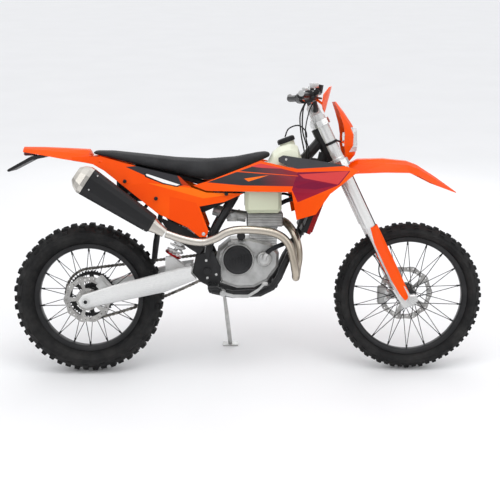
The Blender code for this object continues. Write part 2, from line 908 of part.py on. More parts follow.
def tyre(name, centre, radius, width, bead_radius, rim_width, parent):
    profile = tyre_profile(radius, width, bead_radius, rim_width - 2 * (rim_lip_thickness + seat_gap))
    shape = turned(profile, wheel_sides, centre, side_axis, ring=True)
    piece(name, shape, rubber, parent)


def wire_wheel(name, centre, bead_radius, rim_width, hub_width, parent):
    """Rim, hub and laced spokes, joined as one."""
    half = rim_width / 2
    seat = bead_radius - seat_gap
    lip = bead_radius + rim_lip_height
    inside = bead_radius - rim_depth
    rim = [
        (seat, half - rim_lip_thickness), (lip, half - rim_lip_thickness), (lip, half),
        (inside, half * 0.8),
    ]
    rim += [(r, -y) for r, y in rim[::-1]]
    flange = hub_width / 2
    bore = axle_radius + axle_play
    hub = [
        (bore, -flange), (spoke_flange_radius, -flange), (spoke_flange_radius, -flange + hub_flange_thickness),
        (hub_waist_radius, -flange + 2 * hub_flange_thickness), (hub_waist_radius, flange - 2 * hub_flange_thickness),
        (spoke_flange_radius, flange - hub_flange_thickness), (spoke_flange_radius, flange), (bore, flange),
    ]
    shapes = [
        turned(rim, wheel_sides, centre, side_axis, ring=True),
        turned(hub, 12, centre, side_axis, ring=True),
    ]
    pairs = spoke_count // 4
    root = spoke_flange_radius - hub_flange_thickness / 2
    for side in (right, left):
        for k in range(2 * pairs):
            leaning = 1 if k % 2 else -1
            start = 2 * math.pi * (k - k % 2 + 0.5 + side / 4) / (2 * pairs)
            end = start + leaning * (lacing_angle + math.pi / (4 * pairs))
            start -= leaning * math.pi / (6 * pairs)
            spoke_side = side * (flange - hub_flange_thickness / 2)
            a = centre + Vector((root * math.cos(start), spoke_side, root * math.sin(start)))
            reach = inside + rim_depth / 3
            b = centre + Vector((reach * math.cos(end), side * half / 4, reach * math.sin(end)))
            shapes.append(rod(a, b, spoke_radius, 3))
    piece(name, fused(*shapes), black_metal, parent)


def pitch_radius(teeth):
    return chain_pitch / (2 * math.sin(math.pi / teeth))


def bar_point(share, side):
    """A point on the handlebar's centreline: share 0 is its middle and 1 its end."""
    middle = steer(upper_clamp_height + upper_clamp_thickness + bar_clamp_rise, bar_clamp_lead)
    bend = bar_bend_side / bar_half_width
    if share <= bend:
        out = Vector((0, side * share * bar_half_width, 0))
        return middle + out
    run = (share - bend) / (1 - bend)
    climb = min(run / 0.32, 1.0)
    sweep = bar_sweep * run**1.15
    return middle + Vector((-sweep, side * share * bar_half_width, bar_rise * math.sin(climb * math.pi / 2)))


def bar_tube(grow=0.0):
    """The bent bar from end to end, grown for what clamps around it."""
    half_right = [bar_point(s, right) for s in bar_shares]
    half_left = [bar_point(s, left) for s in bar_shares[1:]]
    points = half_right[::-1] + half_left
    radii = [(bar_clamp_radius if abs(p.y) < bar_bend_side else bar_radius) + grow for p in points]
    return tube(points, bar_radius, 10, radii)


def handlebar(parent):
    piece("handlebar", fused(bar_tube(), grip(right), grip(left)), black_metal, parent)


def grip(side):
    """A rubber grip with its flange, around the end of the bar."""
    inner, outer = bar_point(1.0 - grip_length / bar_half_width, side), bar_point(1.0, side)
    length = (outer - inner).length
    profile = [
        (0, 0), (grip_flange_radius, 0), (grip_flange_radius, length * 0.03), (grip_radius, length * 0.05),
        (grip_radius, length * 0.97), (grip_radius * 0.9, length + overrun), (0, length + overrun),
    ]
    return turned(profile, 12, inner, outer - inner)


def control(side, parent):
    """The lever with its perch and master cylinder, clamped on the bar inboard of the grip."""
    inner_share = 1.0 - (grip_length + control_gap + throttle_housing_length) / bar_half_width
    outer_share = 1.0 - (grip_length + control_gap) / bar_half_width
    a, b = bar_point(inner_share, side), bar_point(outer_share, side)
    along = (b - a).normalized()
    length = (b - a).length
    ahead = Vector((math.cos(rake_angle), 0, -math.sin(rake_angle) * lever_dip_share)).normalized()
    up = along.cross(ahead).normalized()
    if up.z < 0:
        up.negate()
    perch = b + ahead * lever_reach * perch_share - along * lever_inset
    master_start = perch + up * master_rise - along * master_length
    pot_foot = master_start + along * reservoir_inset
    lever_rings = []
    for out, forward, size in lever_shares:
        place = perch + along * lever_length * out + ahead * lever_reach * forward
        w, h = lever_depth / 2 * size, lever_thickness / 2
        lever_rings.append([place + ahead * i * w + up * j * h for i, j in square])
    shapes = [
        rod(a, b, throttle_housing_radius, 10),
        rod(a + along * length / 2, perch, throttle_housing_radius / 2, 8),
        rod(master_start, master_start + along * (master_length + master_overlap), master_radius, 8),
        rod(pot_foot, pot_foot + up * reservoir_size, reservoir_size / 2, 8),
        loft(lever_rings),
    ]
    name = "brake_lever_right" if side == right else "clutch_lever_left"
    piece(name, cut(fused(*shapes), bar_tube(seat_gap)), black_metal, parent)


def path(shares, back, length, side, base, height):
    """Points from shares of a length, a half width and a height."""
    return [Vector((back + a * length, c * side, base + b * height)) for a, c, b in shares]


def frame_path(shares, side=1):
    return path(shares, frame_back_x, frame_length, side * upright_side, cradle_floor_z, frame_height)


def rail_path(shares, side):
    return path(shares, rail_back_x, rail_length, side * seat_rail_side, rail_base_z, rail_height)


def between(side, inner, outer):
    """Lowest and highest Y of a plate on one side."""
    return sorted((side * inner, side * outer))


def head_ends():
    low = steer(lower_clamp_height + lower_clamp_thickness + head_play, 0)
    high = steer(upper_clamp_height - head_play, 0)
    return low, high


def backbone_line():
    low, high = head_ends()
    start = low.lerp(high, backbone_start_share) - fork_forward * (stem_radius + head_play)
    return smooth([start, *frame_path(backbone_shares)], 2)


def down_tube_line():
    low, high = head_ends()
    start = low.lerp(high, down_tube_start_share) - fork_forward * (stem_radius + head_play)
    return smooth([start, *frame_path(down_tube_shares)], 2)


def upright_line(side):
    return smooth(frame_path(upright_shares, side), 2)


def cradle_line(side):
    return frame_path(cradle_shares, side)


def stand_axis():
    """The side stand's hinge axis, pointing outwards to the left."""
    return Vector((stand_axis_back_share, 1, stand_axis_up_share)).normalized()


def carrier(name, centre, side, hub_end, radius, shape, finish, parent):
    """Joins a disc or sprocket to the boss that reaches in to the hub's end face."""
    near = hub_end + math.copysign(seat_gap, hub_end)
    inner = axle_radius + hub_play * 2
    low, high = sorted((near, side))
    boss = turned([(inner, low), (radius, low), (radius, high), (inner, high)], 12, centre, side_axis, ring=True)
    piece(name, fused(shape, boss), finish, parent)


def brake_disc(name, centre, radius, side, hub_end, parent):
    """A petal disc: a wavy band on arms from a centre ring."""
    sides = disc_petals * 4
    loops = []
    for base, wave in ((radius - disc_wave, disc_wave), (radius - disc_band, -disc_wave)):
        turns = [2 * math.pi * k / sides for k in range(sides)]
        reach = [base + wave * math.cos(disc_petals * a) for a in turns]
        loops.append([(centre.x + r * math.cos(a), centre.z + r * math.sin(a)) for a, r in zip(turns, reach)])
    low, high = side - disc_thickness / 2, side + disc_thickness / 2
    outer, inner = loops
    rings = [
        [(x, low, z) for x, z in outer], [(x, high, z) for x, z in outer],
        [(x, high, z) for x, z in inner], [(x, low, z) for x, z in inner],
    ]
    arms = spider(centre, low, high, radius - disc_band + disc_wave, 5)
    carrier(name, centre, side, hub_end, disc_boss_radius, fused(loft(rings, closed=True), *arms), cast_silver, parent)


def spider(centre, low, high, reach, count):
    """A centre ring with arms out to a rim."""
    inner = disc_boss_radius - overrun
    shapes = [
        turned(
            [(inner, low), (disc_centre_radius, low), (disc_centre_radius, high), (inner, high)], 12, centre, side_axis,
            ring=True,
        )
    ]
    for k in range(count):
        turn = Matrix.Rotation(2 * math.pi * (k + 0.5) / count, 4, "Y")
        arm = block((disc_centre_radius - overrun, low, -disc_arm_width / 2), (reach, high, disc_arm_width / 2))
        arm.transform(Matrix.Translation(centre) @ turn)
        shapes.append(arm)
    return shapes


def tooth_outline(centre, teeth):
    """A toothed rim whose teeth stay inside the chain."""
    tip = pitch_radius(teeth) - chain_height / 2 - axle_play
    root = tip - sprocket_tooth_depth
    points = []
    for k in range(teeth):
        for share, r in ((0.0, tip), (0.5, root)):
            a = 2 * math.pi * (k + share) / teeth
            points.append((centre.x + r * math.cos(a), centre.z + r * math.sin(a)))
    return points, root


def rear_tooth_wheel(parent):
    points, root = tooth_outline(rear_axle, rear_sprocket_teeth)
    low, high = chain_side - sprocket_thickness / 2, chain_side + sprocket_thickness / 2
    inner = root - sprocket_rim
    window = turned([(inner, low - overrun), (inner, high + overrun)], 24, rear_axle, side_axis)
    rim = cut(slab(points, low, high), window)
    shape = fused(rim, *spider(rear_axle, low, high, inner + sprocket_rim / 2, 6))
    carrier("rear_sprocket", rear_axle, chain_side, rear_hub_width / 2, disc_boss_radius, shape, black_metal, parent)


def clamp_plate(height, thickness, tube_radius):
    """A plate around both fork tubes and the stem, with its bores cut."""
    outer, y = tube_radius + clamp_wall, fork_spacing / 2
    edge = [(clamp_offset - outer, y), (clamp_offset - outer * 0.7, y + outer * 0.7), (clamp_offset, y + outer)]
    edge += [(clamp_offset + outer * 0.7, y + outer * 0.7), (clamp_offset + outer, y), (clamp_offset + outer * 0.5, y * 0.5)]
    front = [(n, -s) for n, s in edge] + [(clamp_offset + outer * 0.35, 0)] + edge[::-1]
    rear = stem_radius + clamp_wall
    back = [(-rear, rear), (-rear, -rear)]
    outline = [(n, s) for n, s in front + back]
    body = loft([[steer(h, n, s) for n, s in outline] for h in (height, height + thickness)])
    bores = [
        rod(steer(height - thickness, clamp_offset, s * y), steer(height + 2 * thickness, clamp_offset, s * y), tube_radius + seat_gap, 16)
        for s in (right, left)
    ]
    return cut(body, *bores)


def lower_clamp(parent):
    """The lower clamp with the steering stem, whose nut lies on the upper clamp."""
    top = upper_clamp_height + upper_clamp_thickness
    length = top - lower_clamp_height
    profile = [
        (0, lower_clamp_thickness / 2), (stem_radius, lower_clamp_thickness / 2), (stem_radius, length + seat_gap),
        (stem_nut_radius, length + seat_gap), (stem_nut_radius, length + stem_nut_height), (0, length + stem_nut_height),
    ]
    stem = turned(profile, 16, steer(lower_clamp_height, 0), fork_up)
    piece("lower_clamp", fused(clamp_plate(lower_clamp_height, lower_clamp_thickness, fork_outer_radius), stem), bright_silver, parent)


def upper_clamp(parent):
    """The upper clamp with the two posts that hold the handlebar."""
    top = upper_clamp_height + upper_clamp_thickness
    shapes = [clamp_plate(upper_clamp_height, upper_clamp_thickness, fork_neck_radius)]
    for side in (right, left):
        low, high = between(side, bar_clamp_side - bar_clamp_width / 2, bar_clamp_side + bar_clamp_width / 2)
        reach = bar_clamp_radius + clamp_wall
        corners = [
            (top - overrun, bar_clamp_lead - reach), (top - overrun, bar_clamp_lead + reach),
            (top + bar_clamp_rise + reach * 0.6, bar_clamp_lead + reach), (top + bar_clamp_rise + reach, bar_clamp_lead + reach * 0.6),
            (top + bar_clamp_rise + reach, bar_clamp_lead - reach * 0.6), (top + bar_clamp_rise + reach * 0.6, bar_clamp_lead - reach),
        ]
        shapes.append(loft([[steer(h, n, y) for h, n in corners] for y in (low, high)]))
    middle = steer(top + bar_clamp_rise, bar_clamp_lead)
    reach = side_axis * bar_bend_side
    bar_bore = rod(middle - reach, middle + reach, bar_clamp_radius + seat_gap, 16)
    stem_bore = rod(steer(lower_clamp_height, 0), steer(top + clamp_wall, 0), stem_radius + seat_gap, 16)
    piece("upper_clamp", cut(fused(*shapes), bar_bore, stem_bore), bright_silver, parent)


def guard_on_foot(side, parent):
    """The plastic guard ahead of a fork slider, held at its foot."""
    word = "left" if side == left else "right"
    y = side * fork_spacing / 2
    stations = []
    for up, wide, lead, drop in guard_shares:
        height = guard_bottom + up * (guard_top - guard_bottom)
        ridge = steer(height, clamp_offset + guard_stand_off * lead, y)
        stations.append((ridge, guard_half_width * wide, fork_forward * (-guard_drop * drop)))
    shell = arch(stations, guard_wall, points=7, power=3)
    lug = block((-guard_wall, -fork_foot_width / 3, -fork_foot_width / 4), (fork_foot_width, fork_foot_width / 3, fork_foot_width / 4))
    spot = steer(guard_lug_height, clamp_offset + guard_stand_off - fork_foot_width, y)
    lug.transform(Matrix.Translation(spot) @ Matrix.Rotation(-rake_angle, 4, "Y"))
    nut_room = rod(front_axle, front_axle + side_axis * y * 2, axle_nut_radius + overrun, 10)
    keep = [foot_shape(side, seat_gap), slider_bar(side, seat_gap), nut_room]
    piece(f"fork_guard_{word}", cut(fused(shell, lug), *keep), orange, parent)


def slider_bar(side, grow=0.0):
    base = steer(0, clamp_offset, side * fork_spacing / 2)
    top = fork_outer_bottom + fork_foot_top * 0.9
    return rod(base + fork_up * fork_foot_top * 0.4, base + fork_up * top, fork_inner_radius + grow, 16)


def foot_shape(side, grow=0.0):
    y, half = side * fork_spacing / 2, fork_foot_width / 2
    corners = [steer(h * fork_foot_length, clamp_offset + n * fork_foot_length) for n, h in foot_shares]
    middle = sum(corners, Vector()) / len(corners)
    outline = [p + (p - middle).normalized() * grow for p in corners]
    return slab([(p.x, p.z) for p in outline], y - half - grow, y + half + grow, half / 5)


def fork_leg(side, parent):
    """The upper fork tube, the polished lower tube and the foot that clamps the axle."""
    word = "left" if side == left else "right"
    y = side * fork_spacing / 2
    base = steer(0, clamp_offset, y)
    upper = [
        (0, fork_outer_bottom), (fork_outer_radius, fork_outer_bottom), (fork_outer_radius, fork_outer_step),
        (fork_neck_radius, fork_outer_step + overrun), (fork_neck_radius, fork_top), (fork_cap_radius, fork_top),
        (fork_cap_radius, fork_top + fork_cap_height), (0, fork_top + fork_cap_height),
    ]
    reach = side_axis * fork_foot_width
    spot = front_axle + side_axis * y
    bore_shape = rod(spot - reach, spot + reach, axle_radius + seat_gap, 10)
    shapes = [foot_shape(side), slider_bar(side), turned(upper, 16, base, fork_up)]
    piece(f"fork_leg_{word}", cut(fused(*shapes), bore_shape), bright_silver, parent)


def handguard_piece(side, parent):
    """The hand shield, with its strut back to a clamp on the handlebar."""
    word = "left" if side == left else "right"
    outer = bar_point(1.0, side)
    low_z = outer.z - handguard_height * handguard_low_share
    inner_side = bar_half_width - handguard_width

    def surface(a, b):
        share = a / handguard_width
        wrap = handguard_wrap * (2 * share - 0.75) ** 2
        slant = handguard_slant_share * (b - handguard_height / 2)
        return Vector((outer.x + handguard_lead - wrap + slant, side * (inner_side + a), low_z + b))

    outline = [(u * handguard_width, v * handguard_height) for u, v in handguard_shares]
    shell = skin(outline, surface, handguard_thickness, 2, 1)
    clamp_room = grip_length + control_gap + throttle_housing_length + handguard_clamp_gap
    clamp_share = 1 - clamp_room / bar_half_width
    inner, beyond = bar_point(clamp_share, side), bar_point(clamp_share * 1.1, side)
    along = (beyond - inner).normalized() * handguard_strut_radius
    collar = rod(inner - along, inner + along, bar_radius + clamp_wall / 2, 12)
    end = surface(handguard_width * handguard_root_share, handguard_height * handguard_root_height_share)
    strut = rod(inner, end - Vector((handguard_thickness / 2, 0, 0)), handguard_strut_radius, 8)
    piece(f"handguard_{word}", cut(fused(shell, collar, strut), bar_tube(seat_gap)), black_plastic, parent)


def frame(parent):
    """Head tube, backbone, uprights, down tube, cradle and pivot plates, welded into one."""
    low, high = head_ends()
    length = (high - low).length
    bore = stem_radius + axle_play
    head_profile = [(bore, 0), (head_tube_radius, 0), (head_tube_radius, length), (bore, length)]
    shapes = [
        turned(head_profile, 12, low, fork_up, ring=True),
        tube(backbone_line(), backbone_radius, 8),
        tube(down_tube_line(), down_tube_radius, 8),
    ]
    plate = [(pivot_x + a * pivot_plate_height, pivot_z + b * pivot_plate_height) for a, b in plate_shares]
    half = pivot_plate_thickness / 2
    for side in (right, left):
        shapes.append(tube(cradle_line(side), frame_radius, 6))
        shapes.append(tube(upright_line(side), upright_radius, 6))
        shapes.append(slab(plate, *between(side, upright_side - half, upright_side + half), half / 3))
        eye = (shock_eye_width / 2 + seat_gap) * side
        outline = path(shock_mount_shares, frame_back_x, frame_length, 0, cradle_floor_z, frame_height)
        shapes.append(slab([(p.x, p.z) for p in outline], *sorted((shock_side + eye, shock_side + eye + side * shock_mount_wall))))
    for ends in cross_tube_shares:
        shapes.append(rod(frame_path([ends], right)[0], frame_path([ends], left)[0], cross_tube_radius, 6))
    pivot = Vector((stand_pivot_x, stand_pivot_side, stand_pivot_z))
    root = frame_path([stand_root_share], left)[0]
    shapes.append(rod(root, pivot - stand_axis() * stand_boss_depth * 0.8, stand_pin_radius * 2, 8))
    boss = [
        (0, -stand_boss_depth), (stand_boss_radius, -stand_boss_depth), (stand_boss_radius, -seat_gap),
        (stand_pin_radius, -seat_gap), (stand_pin_radius, stand_eye_depth), (0, stand_eye_depth),
    ]
    shapes.append(turned(boss, 10, pivot, stand_axis()))
    middle = Vector((pivot_x, 0, pivot_z))
    stem_bore = rod(low - fork_up * overrun, high + fork_up * overrun, bore, 12)
    face = upright_side + pivot_plate_thickness / 2
    bolt = [
        (0, -face - axle_nut_length), (axle_nut_radius, -face - axle_nut_length), (axle_nut_radius, overrun - face),
        (pivot_bolt_radius, overrun - face), (pivot_bolt_radius, face - overrun), (axle_nut_radius, face - overrun),
        (axle_nut_radius, face + axle_nut_length), (0, face + axle_nut_length),
    ]
    shapes.append(turned(bolt, 8, middle, side_axis))
    for side in (right, left):
        shapes += footpeg(side)
    piece("frame", cut(fused(*shapes), stem_bore), black_metal, parent)


def subframe(parent):
    """The tubes that carry the seat and the tail, cut back where they meet the frame, the seat and the fender."""
    shapes, cutters = [], []
    for side in (right, left):
        shapes.append(tube(rail_path(upper_rail_shares, side), seat_rail_radius, 6))
        shapes.append(tube(rail_path(lower_rail_shares, side), seat_rail_radius, 6))
        cutters.append(tube(upright_line(side), upright_radius + seat_gap, 6))
        cover = scaled(cover_shares, cover_back_x, cover_length, cover_base_z, cover_height)
        shapes.append(slab(cover, *between(side, cover_side - panel_wall, cover_side)))
        at, up, *rail = cover_peg_share
        start = (cover_back_x + at * cover_length, side * (cover_side - panel_wall / 2), cover_base_z + up * cover_height)
        shapes.append(rod(start, rail_path([rail], side)[0], panel_peg_radius, 6))
    for ends in rail_cross_shares:
        shapes.append(rod(rail_path([ends], right)[0], rail_path([ends], left)[0], seat_rail_radius, 6))
    piece("subframe", cut(fused(*shapes), *cutters, seat_shape(seat_gap)), black_metal, parent)


def rail_cutters(grow):
    """The subframe's tubes, grown, for what rests on them."""
    shapes = []
    for side in (right, left):
        shapes.append(tube(rail_path(upper_rail_shares, side), seat_rail_radius + grow, 6))
        shapes.append(tube(rail_path(lower_rail_shares, side), seat_rail_radius + grow, 6))
    return shapes


def swingarm(parent):
    """Two cast arms, the bridge ahead of the tyre with the shock's lugs, and the tube around the pivot."""
    outline = scaled(swingarm_shares, swingarm_back_x, swingarm_length, swingarm_base_z, swingarm_height)
    half = swingarm_thickness / 2
    shapes, rooms = [], []
    room = pivot_plate_height * plate_room_share
    for side in (right, left):
        inner = upright_side - pivot_plate_thickness / 2 - seat_gap
        shapes.append(slab(outline, *between(side, swingarm_side - half, swingarm_side + half), half / 3))
        edge = [(pivot_x + a * room, pivot_z + b * room) for a, b in plate_shares]
        rooms.append(slab(edge, *between(side, inner, swingarm_side + swingarm_thickness)))
    inner = swingarm_side - half + overrun
    bridge = path(bridge_shares, swingarm_back_x, swingarm_length, 0, swingarm_base_z, swingarm_height)
    shapes.append(slab([(p.x, p.z) for p in bridge], -inner, inner, half / 3))
    pivot = Vector((pivot_x, 0, pivot_z))
    reach = side_axis * (upright_side - pivot_plate_thickness / 2 - seat_gap)
    shapes.append(rod(pivot - reach, pivot + reach, swingarm_tube_radius, 12))
    neck = path(neck_shares, swingarm_back_x, swingarm_length, 0, swingarm_base_z, swingarm_height)
    for side in (right, left):
        shapes.append(slab([(p.x, p.z) for p in neck], *between(side, neck_inner_side, neck_inner_side + half)))
        eye = (shock_eye_width / 2 + seat_gap) * side
        lug = path(shock_lug_shares, swingarm_back_x, swingarm_length, 0, swingarm_base_z, swingarm_height)
        spread = sorted((shock_side + eye, shock_side + eye + side * shock_mount_wall))
        shapes.append(slab([(p.x, p.z) for p in lug], *spread))
    long_reach = side_axis * (swingarm_side + swingarm_thickness)
    axle_bore = rod(rear_axle - long_reach, rear_axle + long_reach, axle_radius + seat_gap, 10)
    pivot_bore = rod(pivot - long_reach, pivot + long_reach, pivot_bolt_radius + seat_gap, 8)
    piece("swingarm", cut(fused(*shapes), axle_bore, pivot_bore, *rooms), cast_silver, parent)


def shock(parent):
    """The shock absorber with its eyes and spring seats, and the spring around it."""
    low = Vector((shock_bottom_x, shock_side, shock_bottom_z))
    high = Vector((shock_top_x, shock_side, shock_top_z))
    along = (high - low).normalized()
    length = (high - low).length
    half_eye = side_axis * shock_eye_width / 2
    seat = spring_radius + spring_wire_radius
    neck = shock_eye_width / 2 - overrun / 2
    start = shock_eye_radius + spring_seat_thickness / 2
    stop = start + spring_seat_thickness + spring_length
    profile = [
        (0, shock_eye_radius / 2), (neck, shock_eye_radius / 2), (neck, start), (seat, start), (seat, start + spring_seat_thickness),
        (shock_rod_radius, start + spring_seat_thickness), (shock_rod_radius, start + spring_length * 0.45),
        (shock_body_radius, start + spring_length * 0.45), (shock_body_radius, stop), (seat, stop),
        (seat, stop + spring_seat_thickness), (shock_body_radius, stop + spring_seat_thickness),
        (neck, length - shock_eye_radius * 2), (neck, length - shock_eye_radius / 2), (0, length - shock_eye_radius / 2),
    ]
    shape = fused(
        turned(profile, 12, low, along),
        rod(low - half_eye, low + half_eye, shock_eye_radius, 12),
        rod(high - half_eye, high + half_eye, shock_eye_radius, 12),
    )
    piece("shock_absorber", shape, bright_silver, parent)
    turn = along.to_track_quat("Z", "Y").to_matrix()
    first = start + spring_seat_thickness + spring_wire_radius + seat_gap
    last = stop - spring_wire_radius - seat_gap
    steps = int(spring_turns * 8)
    coil = []
    for k in range(steps + 1):
        a = 2 * math.pi * spring_turns * k / steps
        run = k / steps
        flat = min(run * spring_turns, (1 - run) * spring_turns, 1)
        rise = first + (last - first) * (run * flat + (1 - flat) * (0 if run < 0.5 else 1))
        coil.append(low + turn @ Vector((spring_radius * math.cos(a), spring_radius * math.sin(a), rise)))
    piece("shock_spring", tube(coil, spring_wire_radius, 4), spring_white, parent)


def crankcase_outline():
    return scaled(crankcase_shares, crankcase_back_x, crankcase_length, crankcase_base_z, crankcase_height)


def case_top(x):
    """Height of the crankcase's top line at x."""
    outline = crankcase_outline()
    pairs = list(zip(outline, outline[1:] + outline[:1]))
    return max(a[1] + (b[1] - a[1]) * (x - a[0]) / (b[0] - a[0]) for a, b in pairs if (a[0] - x) * (b[0] - x) <= 0)


def crankcase(parent):
    """The cases with their mounting bosses, the shafts' ends and the pocket for the front sprocket."""
    shapes = [slab(crankcase_outline(), -crankcase_half_width, crankcase_half_width, case_bevel)]
    reach = upright_side - pivot_plate_thickness / 2 - seat_gap
    boss_x = pivot_x + boss_back_share * pivot_plate_height
    boss_z = pivot_z + boss_up_share * pivot_plate_height
    boss = rod((boss_x, -reach, boss_z), (boss_x, 0, boss_z), case_boss_radius, 10)
    counter = front_sprocket_radius() + pocket_clearance
    inner = chain_side - chain_width / 2 - pocket_clearance
    pocket = turned([(counter, inner), (counter, crankcase_half_width + overrun)], 20, (countershaft_x, 0, countershaft_z), side_axis)
    gate = block(
        (crankcase_back_x - overrun, inner, countershaft_z - counter - pocket_clearance * 2),
        (countershaft_x, crankcase_half_width + overrun, countershaft_z + counter),
    )
    shaft = rod(
        (countershaft_x, inner - overrun, countershaft_z), (countershaft_x, chain_side + sprocket_thickness, countershaft_z),
        shaft_radius, 12,
    )
    teeth, _ = tooth_outline(Vector((countershaft_x, 0, countershaft_z)), front_sprocket_teeth)
    sprocket = slab(teeth, chain_side - sprocket_thickness / 2, chain_side + sprocket_thickness / 2)
    pump = cover_shape(pump_x, pump_z, pump_radius, pump_depth, right, crankcase_half_width - overrun, 16)
    body = cut(fused(*shapes), pocket, gate)
    piece("crankcase", fused(body, boss, shaft, sprocket, pump), cast_silver, parent)


def front_sprocket_radius():
    return pitch_radius(front_sprocket_teeth) + chain_height / 2


def cylinder(parent):
    """Barrel, head and camshaft cover, standing on the crankcase."""
    front, rear = barrel_front_x, barrel_front_x - barrel_length
    middle = crankcase_back_x + crankcase_shares[8][0] * crankcase_length
    foot = [(x, case_top(x) + seat_gap) for x in (front, middle, rear)]
    barrel = slab([*foot, (rear, barrel_top_z), (front, barrel_top_z)], -barrel_half_width, barrel_half_width)
    shapes = [barrel]
    head_rear = head_front_x - head_length
    shapes.append(
        block((head_rear, -head_half_width, barrel_top_z - overrun), (head_front_x, head_half_width, head_top_z), case_bevel / 2)
    )
    shapes.append(
        block(
            (head_rear + case_bevel, -head_cover_half_width, head_top_z - case_bevel),
            (head_front_x - case_bevel, head_cover_half_width, head_cover_top_z), case_bevel,
        )
    )
    step = (barrel_top_z - case_top(rear)) / (rib_count + 1)
    for k in range(rib_count):
        z = barrel_top_z - step * (k + 0.75)
        shapes.append(
            block(
                (rear - rib_depth, -barrel_half_width - rib_depth, z), (front + rib_depth, barrel_half_width + rib_depth, z + rib_depth)
            )
        )
    piece("cylinder", fused(*shapes), cast_silver, parent)


def cover_shape(x, z, radius, depth, side, base, sides, boss=0.0):
    """A turned cover that stands on one side of the crankcase."""
    profile = [(0, 0), (radius, 0), (radius, depth * 0.62), (radius * 0.9, depth * 0.92), (radius * 0.80, depth)]
    if boss:
        profile += [(radius * 0.55, depth), (radius * 0.45, depth + boss)]
    profile.append((0, depth + boss))
    return turned(profile, sides, (x, side * base, z), side_axis * side)


def engine_covers(parent):
    base = crankcase_half_width + seat_gap
    clutch = cover_shape(clutch_x, clutch_z, clutch_radius, clutch_cover_depth, right, base, 28, clutch_boss_depth)
    piece("clutch_cover", clutch, cast_silver, parent)
    ignition = cover_shape(ignition_x, ignition_z, ignition_radius, ignition_depth, left, base, 28)
    piece("ignition_cover", ignition, cast_silver, parent)


def exhaust(parent):
    """The header pipe from the port, looped around the frame to the silencer's mouth."""
    port = Vector((head_front_x - header_radius, 0, port_z))
    run = path(header_shares, header_back_x, header_length, header_side, header_base_z, header_height)
    deep, wide = head_front_x + seat_gap, head_half_width
    head_room = block((0, -wide, port_z - wide), (deep, wide, port_z + wide))
    end = 1 + cone_share()
    cone_room = loft([silencer_ring(1.0, 1.0, wide), silencer_ring(end + seat_gap / silencer_span(), 1.0, wide)])
    points = smooth([port, *run, silencer_point(1 + cone_share() / 2)], 2)
    piece("exhaust_header", cut(tube(points, header_radius, 8), head_room, cone_room), exhaust_steel, parent)


def silencer_point(share):
    """A point on the silencer's centreline: share 0 is its rear, and 1 its front."""
    rear = Vector((silencer_rear_x, silencer_side, silencer_rear_z))
    front = Vector((silencer_front_x, silencer_side, silencer_front_z))
    return rear.lerp(front, share)


def silencer_span():
    return (silencer_point(1) - silencer_point(0)).length


def cone_share():
    return silencer_cone_length / silencer_span()


def silencer_ring(share, size=1.0, across=None):
    """A rounded section of the silencer, square to its centreline."""
    centre = silencer_point(share)
    ahead = (silencer_point(1) - silencer_point(0)).normalized()
    up = Vector((-ahead.z, 0, ahead.x))
    if up.z < 0:
        up.negate()
    mix = min(max(share, 0), 1)
    tall = silencer_rear_height + (silencer_front_height - silencer_rear_height) * mix
    wide = silencer_rear_width + (silencer_front_width - silencer_rear_width) * mix
    if across:
        tall = wide = across / size
    ring = []
    for k in range(silencer_sides):
        a = 2 * math.pi * k / silencer_sides
        x, y = math.cos(a), math.sin(a)
        squareness = (abs(x) ** 3 + abs(y) ** 3) ** (-1 / 3)
        ring.append(centre + side_axis * (x * squareness * wide / 2 * size) + up * (y * squareness * tall / 2 * size))
    return ring


def silencer(parent):
    """The can with its front cone and its lugs to the subframe, and the steel cap on its rear."""
    body = loft([silencer_ring(s) for s in (0, 0.33, 0.66, 0.97)] + [silencer_ring(1.0, 0.94)])
    joint = 1 - overrun / silencer_span()
    mouth = header_radius * 2.3
    cone = loft([silencer_ring(joint, 0.86), silencer_ring(1 + cone_share() * 0.45, 1.0, mouth * 1.25), silencer_ring(1 + cone_share(), 1.0, mouth)])
    shapes = [body, cone]
    for share in silencer_lug_shares:
        start = silencer_point(share[0])
        end = rail_path([share[1:]], right)[0]
        shapes.append(rod(start, end, silencer_lug_radius, 8))
    piece("silencer", cut(fused(*shapes), *rail_cutters(seat_gap)), black_metal, parent)
    length = end_cap_length / silencer_span()
    gap = seat_gap / silencer_span()
    rings = [silencer_ring(-gap), silencer_ring(-length * 0.30), silencer_ring(-length * 0.72, 0.80), silencer_ring(-length, 0.52)]
    bore = rod(silencer_point(-length * 1.1), silencer_point(-length * 0.5), outlet_radius, 12)
    piece("silencer_end_cap", cut(loft(rings), bore), exhaust_steel, parent)


def section_loft(shares, back_x, length, base_z, height, half_width, corner, grow=0.0, sides=14):
    """A body lofted along X from stations of top, bottom and half width, with rounded sections."""
    rings = []
    last = len(shares) - 1
    for k, (a, top, bottom, wide) in enumerate(shares):
        x = back_x + a * length + (-grow if k == 0 else grow if k == last else 0)
        low, high = base_z + bottom * height - grow, base_z + top * height + grow
        half = wide * half_width + grow
        ring = []
        for i in range(sides):
            t = 2 * math.pi * (i + 0.5) / sides
            c, s = math.cos(t), math.sin(t)
            blend = (abs(c) ** corner + abs(s) ** corner) ** (-1 / corner)
            ring.append((x, half * c * blend, (low + high) / 2 + (high - low) / 2 * s * blend))
        rings.append(ring)
    return loft(rings)


def seat_shape(grow=0.0):
    return section_loft(seat_shares, seat_back_x, seat_length, seat_base_z, seat_height, seat_half_width, 3.2, grow)


